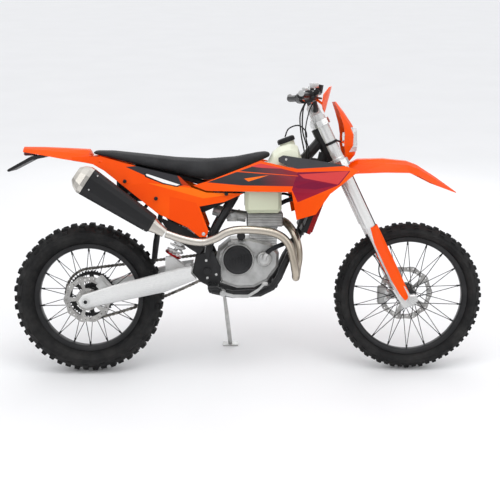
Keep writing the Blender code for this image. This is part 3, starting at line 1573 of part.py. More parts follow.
def tank_shape(grow=0.0):
    """The upper tank with its two lobes beside the engine, without the tunnel."""
    upper = section_loft(tank_shares, tank_back_x, tank_length, tank_base_z, tank_height, tank_half_width, 3.4, grow)
    front, bottom = lobe_back_x + lobe_length, lobe_bottom_z
    top = tank_base_z + tank_height * lobe_root_share
    lobes = [
        block(
            (lobe_back_x - grow, *between(side, lobe_half_gap - grow, lobe_half_width + grow)[:1], bottom - grow),
            (front + grow, *between(side, lobe_half_gap - grow, lobe_half_width + grow)[1:], top + grow), lobe_bevel,
        )
        for side in (right, left)
    ]
    return fused(upper, *lobes)


def fuel_tank(parent):
    line = backbone_line()
    seat = backbone_radius + seat_gap
    deep = tank_height
    roof = [(p.x, p.z + seat) for p in line]
    outline = [(roof[0][0] + deep, roof[0][1]), *roof, (roof[-1][0] - deep, roof[-1][1])]
    outline += [(outline[-1][0], lobe_bottom_z - deep), (outline[0][0], lobe_bottom_z - deep)]
    tunnel = slab(outline, -tunnel_half_width, tunnel_half_width)
    engine_room = block(
        (-tank_length, -lobe_half_gap, lobe_bottom_z - deep), (tank_length, lobe_half_gap, tank_base_z + overrun)
    )
    tilt = Matrix.Rotation(tank_cap_tilt, 4, "Y")
    up = tilt @ Vector((0, 0, 1))
    foot = Vector((tank_cap_x, 0, tank_cap_z))
    neck = rod(foot - up * tank_cap_height, foot, tank_neck_radius, 20)
    bay = rod(foot, foot + up * deep, tank_cap_radius + overrun, 20)
    spine = tube(line, backbone_radius + seat_gap, 8)
    shape = cut(fused(cut(tank_shape(), tunnel, spine, engine_room), neck), bay)
    piece("fuel_tank", shape, tank_plastic, parent)
    r, h = tank_cap_radius, tank_cap_height
    cap = [(0, seat_gap), (r, seat_gap), (r, h * 0.75), (r * 0.86, h), (0, h)]
    piece("fuel_cap", turned(cap, 20, foot, up), black_plastic, parent)


def seat(parent):
    piece("seat", cut(seat_shape(), tank_shape(seat_gap)), seat_cover, parent)


def rear_fender_stations():
    stations = []
    for a, b, w, d in rear_fender_shares:
        ridge = Vector((rear_fender_back_x + a * rear_fender_length, 0, rear_fender_base_z + b * rear_fender_rise))
        stations.append((ridge, w * rear_fender_half_width, Vector((0, 0, -d * rear_fender_drop))))
    return stations


def above(stations, wall):
    """A thick copy of an arched shell that also fills the space outside it, to cut what fits under it."""
    lift = wall * 10
    raised = []
    for ridge, half, drop in stations:
        down = drop.normalized()
        raised.append((ridge - down * lift, half + wall, drop + down * (lift + seat_gap)))
    return arch(raised, lift + wall + seat_gap, rim=2 * wall + seat_gap, points=7, power=2.4)


def tail(parent):
    """Rear fender, tail lamp and plate holder."""
    stations = rear_fender_stations()
    shell = arch(stations, fender_wall, points=7, power=2.4)
    piece("rear_fender", cut(shell, *rail_cutters(seat_gap)), orange, parent)
    back = rear_fender_back_x
    top = rear_fender_base_z + rear_fender_rise
    low = top - fender_wall - tail_lamp_height
    lamp = block(
        (back + seat_gap, -tail_lamp_half_width, low), (back + tail_lamp_length, tail_lamp_half_width, top - fender_wall - seat_gap),
        tail_lamp_height / 8,
    )
    piece("tail_lamp", cut(lamp, above(stations, fender_wall)), lamp_red, parent)
    head = Vector((back + tail_lamp_length, 0, low - seat_gap))
    outline = [
        (head.x + a * plate_holder_length, head.z + b * plate_holder_drop) for a, b in plate_holder_shares
    ]
    piece("plate_holder", slab(outline, -plate_holder_half_width, plate_holder_half_width), black_plastic, parent)


def three_point(t, first, middle, last):
    """A smooth curve through three values at 0, one half and 1."""
    return first * (1 - t) * (1 - 2 * t) + middle * 4 * t * (1 - t) + last * t * (2 * t - 1)


def panel_surface(side, sunk=0.0):
    def surface(x, z):
        t = (x - panel_back_x) / panel_length
        y = three_point(t, panel_rear_side, panel_middle_side, panel_front_side) - sunk
        rise = max(0, (z - panel_base_z) / panel_height)
        return Vector((x, side * (y - panel_tuck * rise**3), z))

    return surface


def shroud_surface(side, sunk=0.0):
    def surface(x, z):
        t = (x - shroud_back_x) / shroud_length
        y = three_point(t, shroud_rear_side, shroud_middle_side, shroud_front_side) - sunk
        rise = max(0, (z - shroud_base_z) / shroud_height - shroud_tuck_share) / (1 - shroud_tuck_share)
        return Vector((x, side * (y - shroud_tuck * rise**1.5), z))

    return surface


def side_panels(side, parent):
    word = "left" if side == left else "right"
    outline = scaled(side_panel_shares, panel_back_x, panel_length, panel_base_z, panel_height)
    surface = panel_surface(side)
    shell = skin(outline, surface, panel_wall, 5, 2)
    shapes = [shell]
    for at, up, to in panel_peg_shares:
        x, z = panel_back_x + at * panel_length, panel_base_z + up * panel_height
        start = surface(x, z)
        start.y -= side * panel_wall / 2
        shapes.append(rod(start, rail_path([to], side)[0], panel_peg_radius, 6))
    piece(f"side_panel_{word}", cut(fused(*shapes), *rail_cutters(seat_gap)), orange, parent)


def shroud(side, parent):
    word = "left" if side == left else "right"
    outline = scaled(shroud_shares, shroud_back_x, shroud_length, shroud_base_z, shroud_height)
    surface = shroud_surface(side)
    shapes = [skin(outline, surface, shroud_wall, 5, 2)]
    x, z = shroud_back_x + shroud_peg_share[0] * shroud_length, shroud_base_z + shroud_peg_share[1] * shroud_height
    start = surface(x, z)
    start.y -= side * shroud_wall / 2
    shapes.append(rod(start, (x, side * lobe_half_gap, z), panel_peg_radius, 8))
    centre, up, ahead = radiator_axes()
    spot = centre + up * radiator_height() * radiator_peg_share - ahead * radiator_thickness * 0.7
    start = surface(spot.x, spot.z)
    end = start.copy()
    end.y = side * (radiator_inner_side + radiator_width + seat_gap)
    start.y -= side * shroud_wall / 2
    shapes.append(rod(start, end, panel_peg_radius, 8))
    outline = scaled(insert_shares, insert_back_x, insert_length, insert_base_z, insert_height)
    shapes.append(skin(outline, shroud_surface(side, shroud_wall / 2), shroud_wall, 3, 1))
    piece(f"shroud_{word}", cut(fused(*shapes), tank_shape(seat_gap)), orange, parent)


def radiator_axes():
    top = Vector((radiator_top_x, 0, radiator_top_z))
    bottom = Vector((radiator_bottom_x, 0, radiator_bottom_z))
    up = (top - bottom).normalized()
    ahead = Vector((up.z, 0, -up.x))
    return (top + bottom) / 2, up, ahead


def radiator_height():
    top = Vector((radiator_top_x, 0, radiator_top_z))
    return (top - Vector((radiator_bottom_x, 0, radiator_bottom_z))).length


def radiator(side, parent):
    """Core, tanks and slatted guard, drawn level and then leaned, with lugs to the down tube."""
    word = "left" if side == left else "right"
    half = radiator_height() / 2
    low, high = between(side, radiator_inner_side, radiator_inner_side + radiator_width)
    step, rim, deep = radiator_thickness / 6, radiator_guard_rim, radiator_guard_thickness
    shapes = [block((-radiator_thickness, low, -half), (0, high, half), radiator_thickness / 10)]
    for end in (-1, 1):
        a, b = sorted((end * (half + step), end * (half - radiator_tank_height)))
        shapes.append(block((-radiator_thickness - step, low + step / 2, a), (step / 2, high - step / 2, b), step / 2))
    outer = block((-overrun, low + step, -half + step), (deep, high - step, half - step))
    window = block((-overrun * 2, low + step + rim, -half + step + rim), (deep * 2, high - step - rim, half - step - rim))
    shapes.append(cut(outer, window))
    pitch = 2 * (half - step - rim) / (radiator_guard_bars + 1)
    for k in range(radiator_guard_bars):
        at = -half + step + rim + pitch * (k + 1)
        shapes.append(block((-overrun / 2, low + step * 2, at - rim / 5), (deep * 0.8, high - step * 2, at + rim / 5)))
    centre, up, ahead = radiator_axes()
    shape = fused(*shapes)
    shape.transform(Matrix(((ahead.x, 0, up.x, centre.x), (0, 1, 0, 0), (ahead.z, 0, up.z, centre.z), (0, 0, 0, 1))))
    line = down_tube_line()
    lugs = []
    for share in radiator_lug_shares:
        point = centre + up * half * share - ahead * radiator_thickness / 2
        target = min(line, key=lambda p: (p - point).length)
        lugs.append(rod(point + side_axis * side * (radiator_inner_side + overrun), target, radiator_lug_radius, 8))
    piece(f"radiator_{word}", cut(fused(shape, *lugs), tube(line, down_tube_radius + seat_gap, 8)), bright_silver, parent)


def airbox(parent):
    low = (airbox_back_x, -airbox_half_width, airbox_base_z)
    high = (airbox_back_x + airbox_length, airbox_half_width, airbox_base_z + airbox_height)
    stations = []
    for a, w, d in flap_shares:
        top = airbox_base_z + overrun
        ridge = Vector((flap_top_x - a * flap_lean, 0, top - a * flap_height))
        stations.append((ridge, w * flap_half_width, Vector((-d * flap_drop, 0, 0))))
    flap = arch(stations, flap_wall, points=7, power=2)
    body = fused(block(low, high, airbox_half_width / 6), flap)
    piece("airbox", cut(body, seat_shape(seat_gap), *rail_cutters(seat_gap)), black_plastic, parent)


def footpeg(side):
    """An open toothed peg on its boss."""
    plate = upright_side + pivot_plate_thickness / 2 - overrun
    inner, wall = plate + peg_width / 4, peg_height / 3
    deep, half = peg_height / 2, peg_width / 2
    low, high = between(side, inner, inner + peg_length)
    tread = block((peg_x - half, low, peg_z - deep), (peg_x + half, high, peg_z + deep), peg_height / 5)
    low, high = between(side, inner + wall * 3, inner + peg_length - wall)
    window = block((peg_x - half + wall, low, peg_z - peg_height), (peg_x + half - wall, high, peg_z + peg_height))
    shapes = [
        rod((peg_x, side * plate, peg_z), (peg_x, side * (inner + wall * 2), peg_z), peg_boss_radius, 10),
        cut(tread, window),
    ]
    for k in range(2):
        at = inner + peg_length * (k + 1) / 3
        low, high = between(side, at - wall / 2, at + wall / 2)
        shapes.append(
            block((peg_x - half + wall / 2, low, peg_z - deep / 2), (peg_x + half - wall / 2, high, peg_z + deep / 2))
        )
    return shapes


def foot_controls(parent):
    """The brake pedal on the right and the gear lever on the left."""
    side = right
    cutter = tube(cradle_line(right), frame_radius + seat_gap, 6)
    bar = [Vector((pedal_pivot_x + a * (pedal_tip_x - pedal_pivot_x), side * pedal_side, pedal_pivot_z + b * (pedal_tip_z - pedal_pivot_z))) for a, b in pedal_shares]
    arm = loft([[p + Vector((0, i * pedal_thickness / 2, j * pedal_height / 2)) for i, j in ((-1, -1), (1, -1), (1, 1), (-1, 1))] for p in bar])
    boss = rod((pedal_pivot_x, side * (pedal_side + pedal_thickness), pedal_pivot_z), (pedal_pivot_x, side * cradle_reach(), pedal_pivot_z), pedal_height, 10)
    tip = bar[-1]
    pad = block(
        tip + Vector((-pedal_height, -pedal_thickness * 2, -pedal_height / 2)), tip + Vector((pedal_height, pedal_thickness, pedal_height / 2)), pedal_height / 5
    )
    piece("brake_pedal", cut(fused(arm, boss, pad), cutter), cast_silver, parent)
    y = crankcase_half_width + ignition_depth + pedal_thickness
    lever = [Vector((shift_pivot_x + a * (shift_tip_x - shift_pivot_x), y, shift_pivot_z + b * (shift_tip_z - shift_pivot_z))) for a, b in shift_shares]
    arm = loft([[p + Vector((0, i * pedal_thickness / 2, j * pedal_height / 2)) for i, j in ((-1, -1), (1, -1), (1, 1), (-1, 1))] for p in lever])
    boss = rod((shift_pivot_x, crankcase_half_width + seat_gap, shift_pivot_z), (shift_pivot_x, y + pedal_thickness, shift_pivot_z), pedal_height * 0.6, 10)
    toe = rod(lever[-1], lever[-1] + side_axis * peg_width * 0.7, pedal_height * 0.6, 8)
    piece("gear_lever", fused(arm, boss, toe), cast_silver, parent)


def cradle_reach():
    return frame_path([cradle_shares[6]], left)[0].y


def chain_line():
    """The chain's centreline as (x, z): around both sprockets, with the lower run hanging."""
    rear_r, front_r = pitch_radius(rear_sprocket_teeth), pitch_radius(front_sprocket_teeth)
    rear = Vector((rear_axle.x, rear_axle.z))
    front = Vector((countershaft_x, countershaft_z))
    gap = front - rear
    slope = math.atan2(gap.y, gap.x)
    lean = math.asin((rear_r - front_r) / gap.length)
    found = []
    steps = 22
    start, stop = slope + math.pi / 2 - lean, slope + 3 * math.pi / 2 + lean
    for k in range(steps + 1):
        a = start + (stop - start) * k / steps
        found.append(rear + Vector((math.cos(a), math.sin(a))) * rear_r)
    lower_end = front + Vector((math.cos(stop), math.sin(stop))) * front_r
    lower_start = found[-1].copy()
    for k in range(1, chain_run_steps):
        t = k / chain_run_steps
        sag = chain_sag * 4 * t * (1 - t)
        found.append(lower_start.lerp(lower_end, t) - Vector((0, sag)))
    steps = 10
    start, stop = slope - math.pi / 2 + lean, slope + math.pi / 2 - lean
    for k in range(steps + 1):
        a = start + (stop - start) * k / steps
        found.append(front + Vector((math.cos(a), math.sin(a))) * front_r)
    upper_start, upper_end = found[-1].copy(), found[0].copy()
    for k in range(1, chain_run_steps):
        found.append(upper_start.lerp(upper_end, k / chain_run_steps))
    return found


def chain(parent):
    """One fixed loop around both sprockets."""
    line = chain_line()
    rings = []
    count = len(line)
    for i, point in enumerate(line):
        ahead = (line[(i + 1) % count] - line[i - 1]).normalized()
        out = Vector((ahead.y, -ahead.x)) * chain_height / 2
        low, high = chain_side - chain_width / 2, chain_side + chain_width / 2
        a, b = point - out, point + out
        rings.append([(a.x, low, a.y), (a.x, high, a.y), (b.x, high, b.y), (b.x, low, b.y)])
    piece("chain", loft(rings, closed=True), black_metal, parent)


def rear_caliper(parent):
    centre = rear_axle + Vector((rear_caliper_lead, rear_disc_side, rear_caliper_rise))
    turn = math.atan2(rear_caliper_rise, rear_caliper_lead)
    place = Matrix.Translation(centre) @ Matrix.Rotation(-turn, 4, "Y")
    half = caliper_thickness / 2
    body = block((-caliper_height / 2, -half, -caliper_length / 2), (caliper_height / 2, half, caliper_length / 2), caliper_height / 6)
    arm_y = -(swingarm_side - swingarm_thickness / 2 - seat_gap) - rear_disc_side
    arm = block((-caliper_height / 2 - overrun, arm_y, -caliper_length / 2.4), (caliper_height / 4, -half + overrun, caliper_length / 4))
    for shape in (body, arm):
        shape.transform(place)
    slot = disc_slot(rear_axle, rear_disc_radius, rear_disc_side)
    piece("rear_caliper", cut(fused(body, arm), slot), cast_silver, parent)


def disc_slot(centre, radius, side):
    half = disc_thickness / 2 + caliper_clearance
    outer = radius + caliper_clearance * 2
    profile = [(radius / 2, side - half), (outer, side - half), (outer, side + half), (radius / 2, side + half)]
    return turned(profile, 32, centre, side_axis, ring=True)


def front_caliper_piece(parent):
    """The caliper behind the left fork foot, open around the disc."""
    centre = steer(front_caliper_height, clamp_offset - front_caliper_back, front_disc_side)
    place = Matrix.Translation(centre)
    half = caliper_thickness / 2
    body = block((-caliper_height / 2, -half, -caliper_length / 2), (caliper_height / 2, half, caliper_length / 2), caliper_height / 6)
    reach = fork_spacing / 2 - fork_foot_width / 2 - seat_gap - front_disc_side
    arm = block((0, half - overrun * 2, -caliper_length / 4), (caliper_arm_length, reach, caliper_length / 4))
    for shape in (body, arm):
        shape.transform(place)
    slot = disc_slot(front_axle, front_disc_radius, front_disc_side)
    piece("front_caliper", cut(fused(body, arm), slot, slider_bar(left, seat_gap)), cast_silver, parent)


def collared_axle(name, centre, collars, reach, parent):
    """An axle with a nut at each end and a spacer on each side of the hub."""
    nut, end = axle_nut_radius, axle_nut_length
    (a, b), (c, d) = collars
    profile = [
        (0, -reach - end), (nut, -reach - end), (nut, -reach), (axle_radius, -reach), (axle_radius, -b), (nut, -b), (nut, -a),
        (axle_radius, -a), (axle_radius, c), (nut, c), (nut, d), (axle_radius, d), (axle_radius, reach), (nut, reach),
        (nut, reach + end), (0, reach + end),
    ]
    piece(name, turned(profile, 10, centre, side_axis), bright_silver, parent)


def side_stand(parent):
    """The stand's eye on its pin, its leg and the foot that lies on the floor."""
    pivot = Vector((stand_pivot_x, stand_pivot_side, stand_pivot_z))
    axis = stand_axis()
    floor_up = Vector((0, -math.sin(lean_angle), math.cos(lean_angle)))
    foot_y = stand_pivot_side + stand_out
    foot = Vector((stand_pivot_x + stand_forward, foot_y, foot_y * math.tan(lean_angle)))
    bore = stand_pin_radius + stand_pin_play
    eye = [(bore, 0), (stand_boss_radius, 0), (stand_boss_radius, stand_eye_depth), (bore, stand_eye_depth)]
    start = pivot + axis * stand_eye_depth / 2
    away = (foot - start).normalized()
    leg_start = start + away * (stand_boss_radius - overrun) + axis * overrun / 2
    ankle = foot + floor_up * stand_foot_thickness / 2
    across = Vector((0, math.cos(lean_angle), math.sin(lean_angle)))
    shapes = [
        turned(eye, 16, pivot, axis, ring=True),
        tube([leg_start, leg_start.lerp(ankle, 0.5), ankle], stand_leg_radius, 10, [stand_knee_radius, stand_leg_radius, stand_leg_radius]),
    ]
    sole = block((-stand_foot_length / 2, -stand_foot_width / 2, 0), (stand_foot_length / 2, stand_foot_width / 2, stand_foot_thickness))
    place = Matrix(((1, 0, 0, foot.x), (0, across.y, floor_up.y, foot.y), (0, across.z, floor_up.z, foot.z), (0, 0, 0, 1)))
    sole.transform(place)
    shapes.append(sole)
    under = block((-stand_foot_length, -stand_foot_length, -stand_foot_length), (stand_foot_length, stand_foot_length, 0))
    under.transform(place)
    piece("side_stand_leg", cut(fused(*shapes), under), cast_silver, parent)


def upper_tube_room(side):
    """The fork's upper tube grown by the seating gap, to cut what clamps around it."""
    outer, neck = fork_outer_radius + seat_gap, fork_neck_radius + seat_gap
    profile = [(0, fork_outer_bottom), (outer, fork_outer_bottom), (outer, fork_outer_step)]
    profile += [(neck, fork_outer_step + overrun), (neck, fork_top), (0, fork_top)]
    return turned(profile, 16, steer(0, clamp_offset, side * fork_spacing / 2), fork_up)


def strap(side, stations):
    """The mask's ring around one fork tube, with its arm to the nearest place on the mask's edge."""
    base = steer(strap_height, clamp_offset, side * fork_spacing / 2)
    radius = fork_outer_radius if strap_height < fork_outer_step + overrun else fork_neck_radius
    middle = base + fork_up * strap_width / 2
    rim = [ridge + drop + side_axis * side * (half - mask_wall / 2) for ridge, half, drop in stations]
    edge = [a.lerp(b, k / mask_edge_steps) for a, b in zip(rim, rim[1:]) for k in range(mask_edge_steps)]
    target = min(edge, key=lambda p: (p - middle).length)
    away = target - middle
    away = (away - fork_up * away.dot(fork_up)).normalized()
    start = middle + away * radius
    arm = rod(start, target + (target - start).normalized() * overrun, strap_width / 3, 6)
    return [rod(base, base + fork_up * strap_width, radius + seat_gap + mask_wall, 12), arm]


def mask_piece(parent):
    stations = []
    for a, b, w, d in mask_shares:
        ridge = Vector((mask_back_x + a * mask_run, 0, mask_bottom_z + b * mask_height))
        stations.append((ridge, w * mask_half_width, Vector((-d * mask_drop, 0, 0))))
    window = block(
        (mask_back_x, -lens_half_width, lens_bottom_z),
        (mask_back_x + 2 * mask_run, lens_half_width, lens_bottom_z + lens_height),
    )
    shell = cut(arch(stations, mask_wall, points=7, power=2.2), window)
    shapes = [shell]
    for side in (right, left):
        shapes += strap(side, stations)
    cutters = [upper_tube_room(side) for side in (right, left)]
    piece("headlight_mask", cut(fused(*shapes), *cutters), orange, parent)
    inner = block(
        (mask_back_x, -lens_half_width + seat_gap, lens_bottom_z + seat_gap),
        (mask_back_x + 2 * mask_run, lens_half_width - seat_gap, lens_bottom_z + lens_height - seat_gap),
    )
    pane = combine([arch(stations, mask_wall, points=7, power=2.2), inner], "INTERSECT")
    front = mask_back_x + mask_run - lens_depth
    shrink = lens_half_width / 8
    rings = []
    for x, size in ((front, shrink / 2), (front - lamp_shell_depth / 2, shrink), (front - lamp_shell_depth, shrink * 3)):
        a, b = lens_half_width - size, lens_height / 2 - size
        middle = lens_bottom_z + lens_height / 2
        rings.append([(x, i * a, middle + j * b) for i, j in ((-1, -0.7), (-0.7, -1), (0.7, -1), (1, -0.7), (1, 0.7), (0.7, 1), (-0.7, 1), (-1, 0.7))])
    piece("headlight", fused(loft(rings), pane), lens_clear, parent)


def fender_piece(parent):
    stations = []
    clamp = steer(lower_clamp_height, 0)
    back, base = clamp.x - front_fender_behind_clamp, clamp.z - front_fender_below_clamp
    for a, b, w, d in front_fender_shares:
        ridge = Vector((back + a * front_fender_length, 0, base + b * front_fender_rise))
        stations.append((ridge, w * front_fender_half_width, Vector((0, 0, -d * front_fender_drop))))
    shell = arch(stations, fender_wall, points=7, power=2.6)
    top = lower_clamp_height - seat_gap
    middle, reach = (fender_pad_front + fender_pad_back) / 2, (fender_pad_front - fender_pad_back) / 2
    heights = (top - fender_pad_depth, top)
    pad = loft([[steer(h, middle + i * reach, j * fender_pad_half_width) for i, j in square] for h in heights])
    heights = (top, top + lower_clamp_thickness)
    clear = loft([[steer(h, i * fork_spacing, j * fork_spacing) for i, j in square] for h in heights])
    piece("front_fender", cut(fused(shell, pad), clear), orange, parent)


def main():
    clear_scene()
    bike = empty("bike", (0, 0, 0))
    steering = empty("steering", steer(0, 0), bike)
    front_hub = empty("front_hub", front_axle - steering.location, steering)
    rear_hub = empty("rear_hub", rear_axle, bike)
    stand = empty("side_stand", (stand_pivot_x, stand_pivot_side, stand_pivot_z), bike)
    frame(bike)
    subframe(bike)
    swingarm(bike)
    shock(bike)
    crankcase(bike)
    cylinder(bike)
    engine_covers(bike)
    exhaust(bike)
    silencer(bike)
    fuel_tank(bike)
    seat(bike)
    tail(bike)
    airbox(bike)
    foot_controls(bike)
    chain(bike)
    rear_caliper(bike)
    for side in (right, left):
        side_panels(side, bike)
        shroud(side, bike)
        radiator(side, bike)
    arm = swingarm_side - swingarm_thickness / 2
    rear_reach = swingarm_side + swingarm_thickness / 2 + seat_gap
    right_face = -rear_disc_side + disc_thickness / 2 + hub_play
    left_face = chain_side + sprocket_thickness / 2 + hub_play
    collars = ((right_face, arm - seat_gap), (left_face, arm - seat_gap))
    collared_axle("rear_axle", rear_axle, collars, rear_reach, bike)

    foot_inner = fork_spacing / 2 - fork_foot_width / 2 - seat_gap
    front_reach = fork_spacing / 2 + fork_foot_width / 2 + seat_gap
    front_left = front_disc_side + disc_thickness / 2 + hub_play
    collars = ((front_hub_width / 2 + hub_play, foot_inner), (front_left, foot_inner))
    collared_axle("front_axle", front_axle, collars, front_reach, steering)
    lower_clamp(steering)
    upper_clamp(steering)
    for side in (right, left):
        fork_leg(side, steering)
        guard_on_foot(side, steering)
        control(side, steering)
        handguard_piece(side, steering)
    handlebar(steering)
    mask_piece(steering)
    fender_piece(steering)
    front_caliper_piece(steering)

    tyre("front_tyre", front_axle, front_tyre_radius, front_tyre_width, front_bead_radius, front_rim_width, front_hub)
    wire_wheel("front_wheel", front_axle, front_bead_radius, front_rim_width, front_hub_width, front_hub)
    brake_disc("front_disc", front_axle, front_disc_radius, front_disc_side, front_hub_width / 2, front_hub)
    tyre("rear_tyre", rear_axle, rear_tyre_radius, rear_tyre_width, rear_bead_radius, rear_rim_width, rear_hub)
    wire_wheel("rear_wheel", rear_axle, rear_bead_radius, rear_rim_width, rear_hub_width, rear_hub)
    brake_disc("rear_disc", rear_axle, rear_disc_radius, rear_disc_side, -rear_hub_width / 2, rear_hub)
    rear_tooth_wheel(rear_hub)
    side_stand(stand)
    bike.rotation_euler = (-lean_angle, 0, 0)
    centre_on_floor(bike)


def centre_on_floor(bike):
    """Moves the whole motorcycle so that its box is centred over the origin, with its lowest point on the floor."""
    bpy.context.view_layer.update()
    corners = []
    for made in bpy.context.scene.objects:
        if made.type == "MESH":
            corners += [made.matrix_world @ v.co for v in made.data.vertices]
    low = [min(c[k] for c in corners) for k in range(3)]
    high = [max(c[k] for c in corners) for k in range(3)]
    bike.location -= Vector(((low[0] + high[0]) / 2, (low[1] + high[1]) / 2, low[2]))
    bpy.context.view_layer.update()


main()
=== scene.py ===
import json
import math

import bmesh
import bpy
from mathutils import Matrix, Vector


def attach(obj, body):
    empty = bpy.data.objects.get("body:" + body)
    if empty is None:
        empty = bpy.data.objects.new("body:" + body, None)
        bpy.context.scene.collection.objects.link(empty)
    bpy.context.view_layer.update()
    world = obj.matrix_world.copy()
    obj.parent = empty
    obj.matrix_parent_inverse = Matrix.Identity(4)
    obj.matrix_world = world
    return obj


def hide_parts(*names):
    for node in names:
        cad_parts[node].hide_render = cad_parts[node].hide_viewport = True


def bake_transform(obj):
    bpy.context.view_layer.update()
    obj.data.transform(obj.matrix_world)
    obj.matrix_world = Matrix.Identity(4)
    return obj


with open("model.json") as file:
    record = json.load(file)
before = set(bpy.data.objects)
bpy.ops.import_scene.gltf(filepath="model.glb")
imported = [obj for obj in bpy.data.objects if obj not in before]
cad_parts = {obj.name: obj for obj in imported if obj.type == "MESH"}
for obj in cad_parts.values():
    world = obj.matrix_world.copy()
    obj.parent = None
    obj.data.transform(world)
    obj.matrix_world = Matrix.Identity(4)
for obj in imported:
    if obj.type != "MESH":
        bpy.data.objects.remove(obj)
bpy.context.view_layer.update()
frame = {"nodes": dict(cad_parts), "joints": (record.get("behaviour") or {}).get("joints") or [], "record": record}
nodes = frame["nodes"]
joints = {joint["name"]: joint for joint in frame["joints"]}

# the motorcycle leans on its stand, so pieces are placed in its own upright axes
rearHub = Vector(joints["rear_wheel_spin"]["pos_m"])
frontHub = Vector(joints["front_wheel_spin"]["pos_m"])
sideways = Vector(joints["rear_wheel_spin"]["axis"]).normalized()
forwards = Vector((1, 0, 0))
upwards = forwards.cross(sideways)
rearHeight, frontHeight = 0.351, 0.3485
middle = (rearHub - upwards * rearHeight + frontHub - upwards * frontHeight) / 2
bike = Matrix.Translation(middle) @ Matrix((forwards, sideways, upwards)).transposed().to_4x4()


# camera, lights and floor

view = {"place": (-0.078, -4.6, 1.19), "aim": (0.006, 0.0, 0.566), "lens": 71.9}
studio = {
    "floorSize": 60.0,
    "sky": (0.97, 0.98, 1.0), "skyStrength": 1.0, "skyFade": (0.35, 1.15),
    "softboxes": [  # place and aim in the motorcycle's axes, width, depth, watts
        ((0.3, -1.6, 4.2), (0.0, 0.0, 0.6), 3.4, 2.2, 45),
        ((2.8, -3.0, 1.9), (0.2, 0.0, 0.7), 1.0, 2.4, 14),
        ((-3.2, -2.4, 2.2), (-0.3, 0.0, 0.6), 1.0, 2.4, 12),
        ((0.4, 3.6, 2.6), (0.0, 0.0, 0.8), 3.2, 1.6, 20),
    ],
}


def aimed(place, aim):
    start, end = bike @ Vector(place), bike @ Vector(aim)
    away = (start - end).normalized()
    right = Vector((0, 0, 1)).cross(away).normalized()
    turned = Matrix((right, away.cross(right), away)).transposed().to_4x4()
    return Matrix.Translation(start) @ turned


def addCamera():
    data = bpy.data.cameras.new("camera")
    data.lens = view["lens"]
    camera = bpy.data.objects.new("camera", data)
    bpy.context.scene.collection.objects.link(camera)
    camera.matrix_world = aimed(view["place"], view["aim"])
    bpy.context.scene.camera = camera
    print("camera placed")


def addLights():
    for number, (place, aim, width, depth, watts) in enumerate(studio["softboxes"]):
        data = bpy.data.lights.new(f"softbox{number}", "AREA")
        data.shape = "RECTANGLE"
        data.size, data.size_y, data.energy = width, depth, watts
        light = bpy.data.objects.new(f"softbox{number}", data)
        bpy.context.scene.collection.objects.link(light)
        light.matrix_world = aimed(place, aim)
    world = bpy.data.worlds.new("studio")
    world.use_nodes = True
    backdrop = world.node_tree.nodes["Background"]
    backdrop.inputs["Color"].default_value = (*studio["sky"], 1)
    tree = Tree(world.node_tree)
    height = tree.parts(tree.node("ShaderNodeTexCoord", {}, [], "Generated"))[2]
    sky = height.ramp(-0.05, 0.75, *studio["skyFade"])
    seen = tree.node("ShaderNodeLightPath", {}, [], "Is Camera Ray")
    strength = sky + seen * (studio["skyStrength"] - sky)
    world.node_tree.links.new(strength.socket, backdrop.inputs["Strength"])
    bpy.context.scene.world = world
    bpy.context.scene.view_settings.view_transform = "Standard"
    print("lights placed")


# node trees: values are fields, so that patterns read as sums

class Field:
    def __init__(self, tree, socket):
        self.tree = tree
        self.socket = socket

    def pair(self, operation, first, second=0.0):
        return self.tree.node("ShaderNodeMath", {"operation": operation}, [first, second])

    def __add__(self, other):
        return self.pair("ADD", self, other)

    def __sub__(self, other):
        return self.pair("SUBTRACT", self, other)

    def __rsub__(self, other):
        return self.pair("SUBTRACT", other, self)

    def __mul__(self, other):
        return self.pair("MULTIPLY", self, other)

    def __truediv__(self, other):
        return self.pair("DIVIDE", self, other)

    def __pow__(self, other):
        return self.pair("POWER", self, other)

    def __gt__(self, other):
        return self.pair("GREATER_THAN", self, other)

    def __lt__(self, other):
        return self.pair("LESS_THAN", self, other)

    __radd__ = __add__
    __rmul__ = __mul__

    def sine(self):
        return self.pair("SINE", self)

    def most(self, other):
        return self.pair("MAXIMUM", self, other)

    def least(self, other):
        return self.pair("MINIMUM", self, other)

    def ramp(self, low, high, start=0.0, end=1.0):
        return self.tree.node("ShaderNodeMapRange", {}, [self, low, high, start, end])

    def mix(self, first, second):
        settings = {"data_type": "RGBA", "clamp_factor": True}
        return self.tree.node("ShaderNodeMix", settings, {0: self, 6: first, 7: second}, 2)


class Tree:
    def __init__(self, nodeTree):
        self.tree = nodeTree

    def node(self, kind, settings, inputs, output=0):
        made = self.tree.nodes.new(kind)
        for name, value in settings.items():
            setattr(made, name, value)
        places = inputs.items() if isinstance(inputs, dict) else enumerate(inputs)
        for place, value in places:
            if isinstance(value, Field):
                self.tree.links.new(value.socket, made.inputs[place])
            else:
                made.inputs[place].default_value = value
        return Field(self, made.outputs[output])

    def parts(self, vector):
        outputs = self.node("ShaderNodeSeparateXYZ", {}, [vector]).socket.node.outputs
        return [Field(self, outputs[axis]) for axis in range(3)]


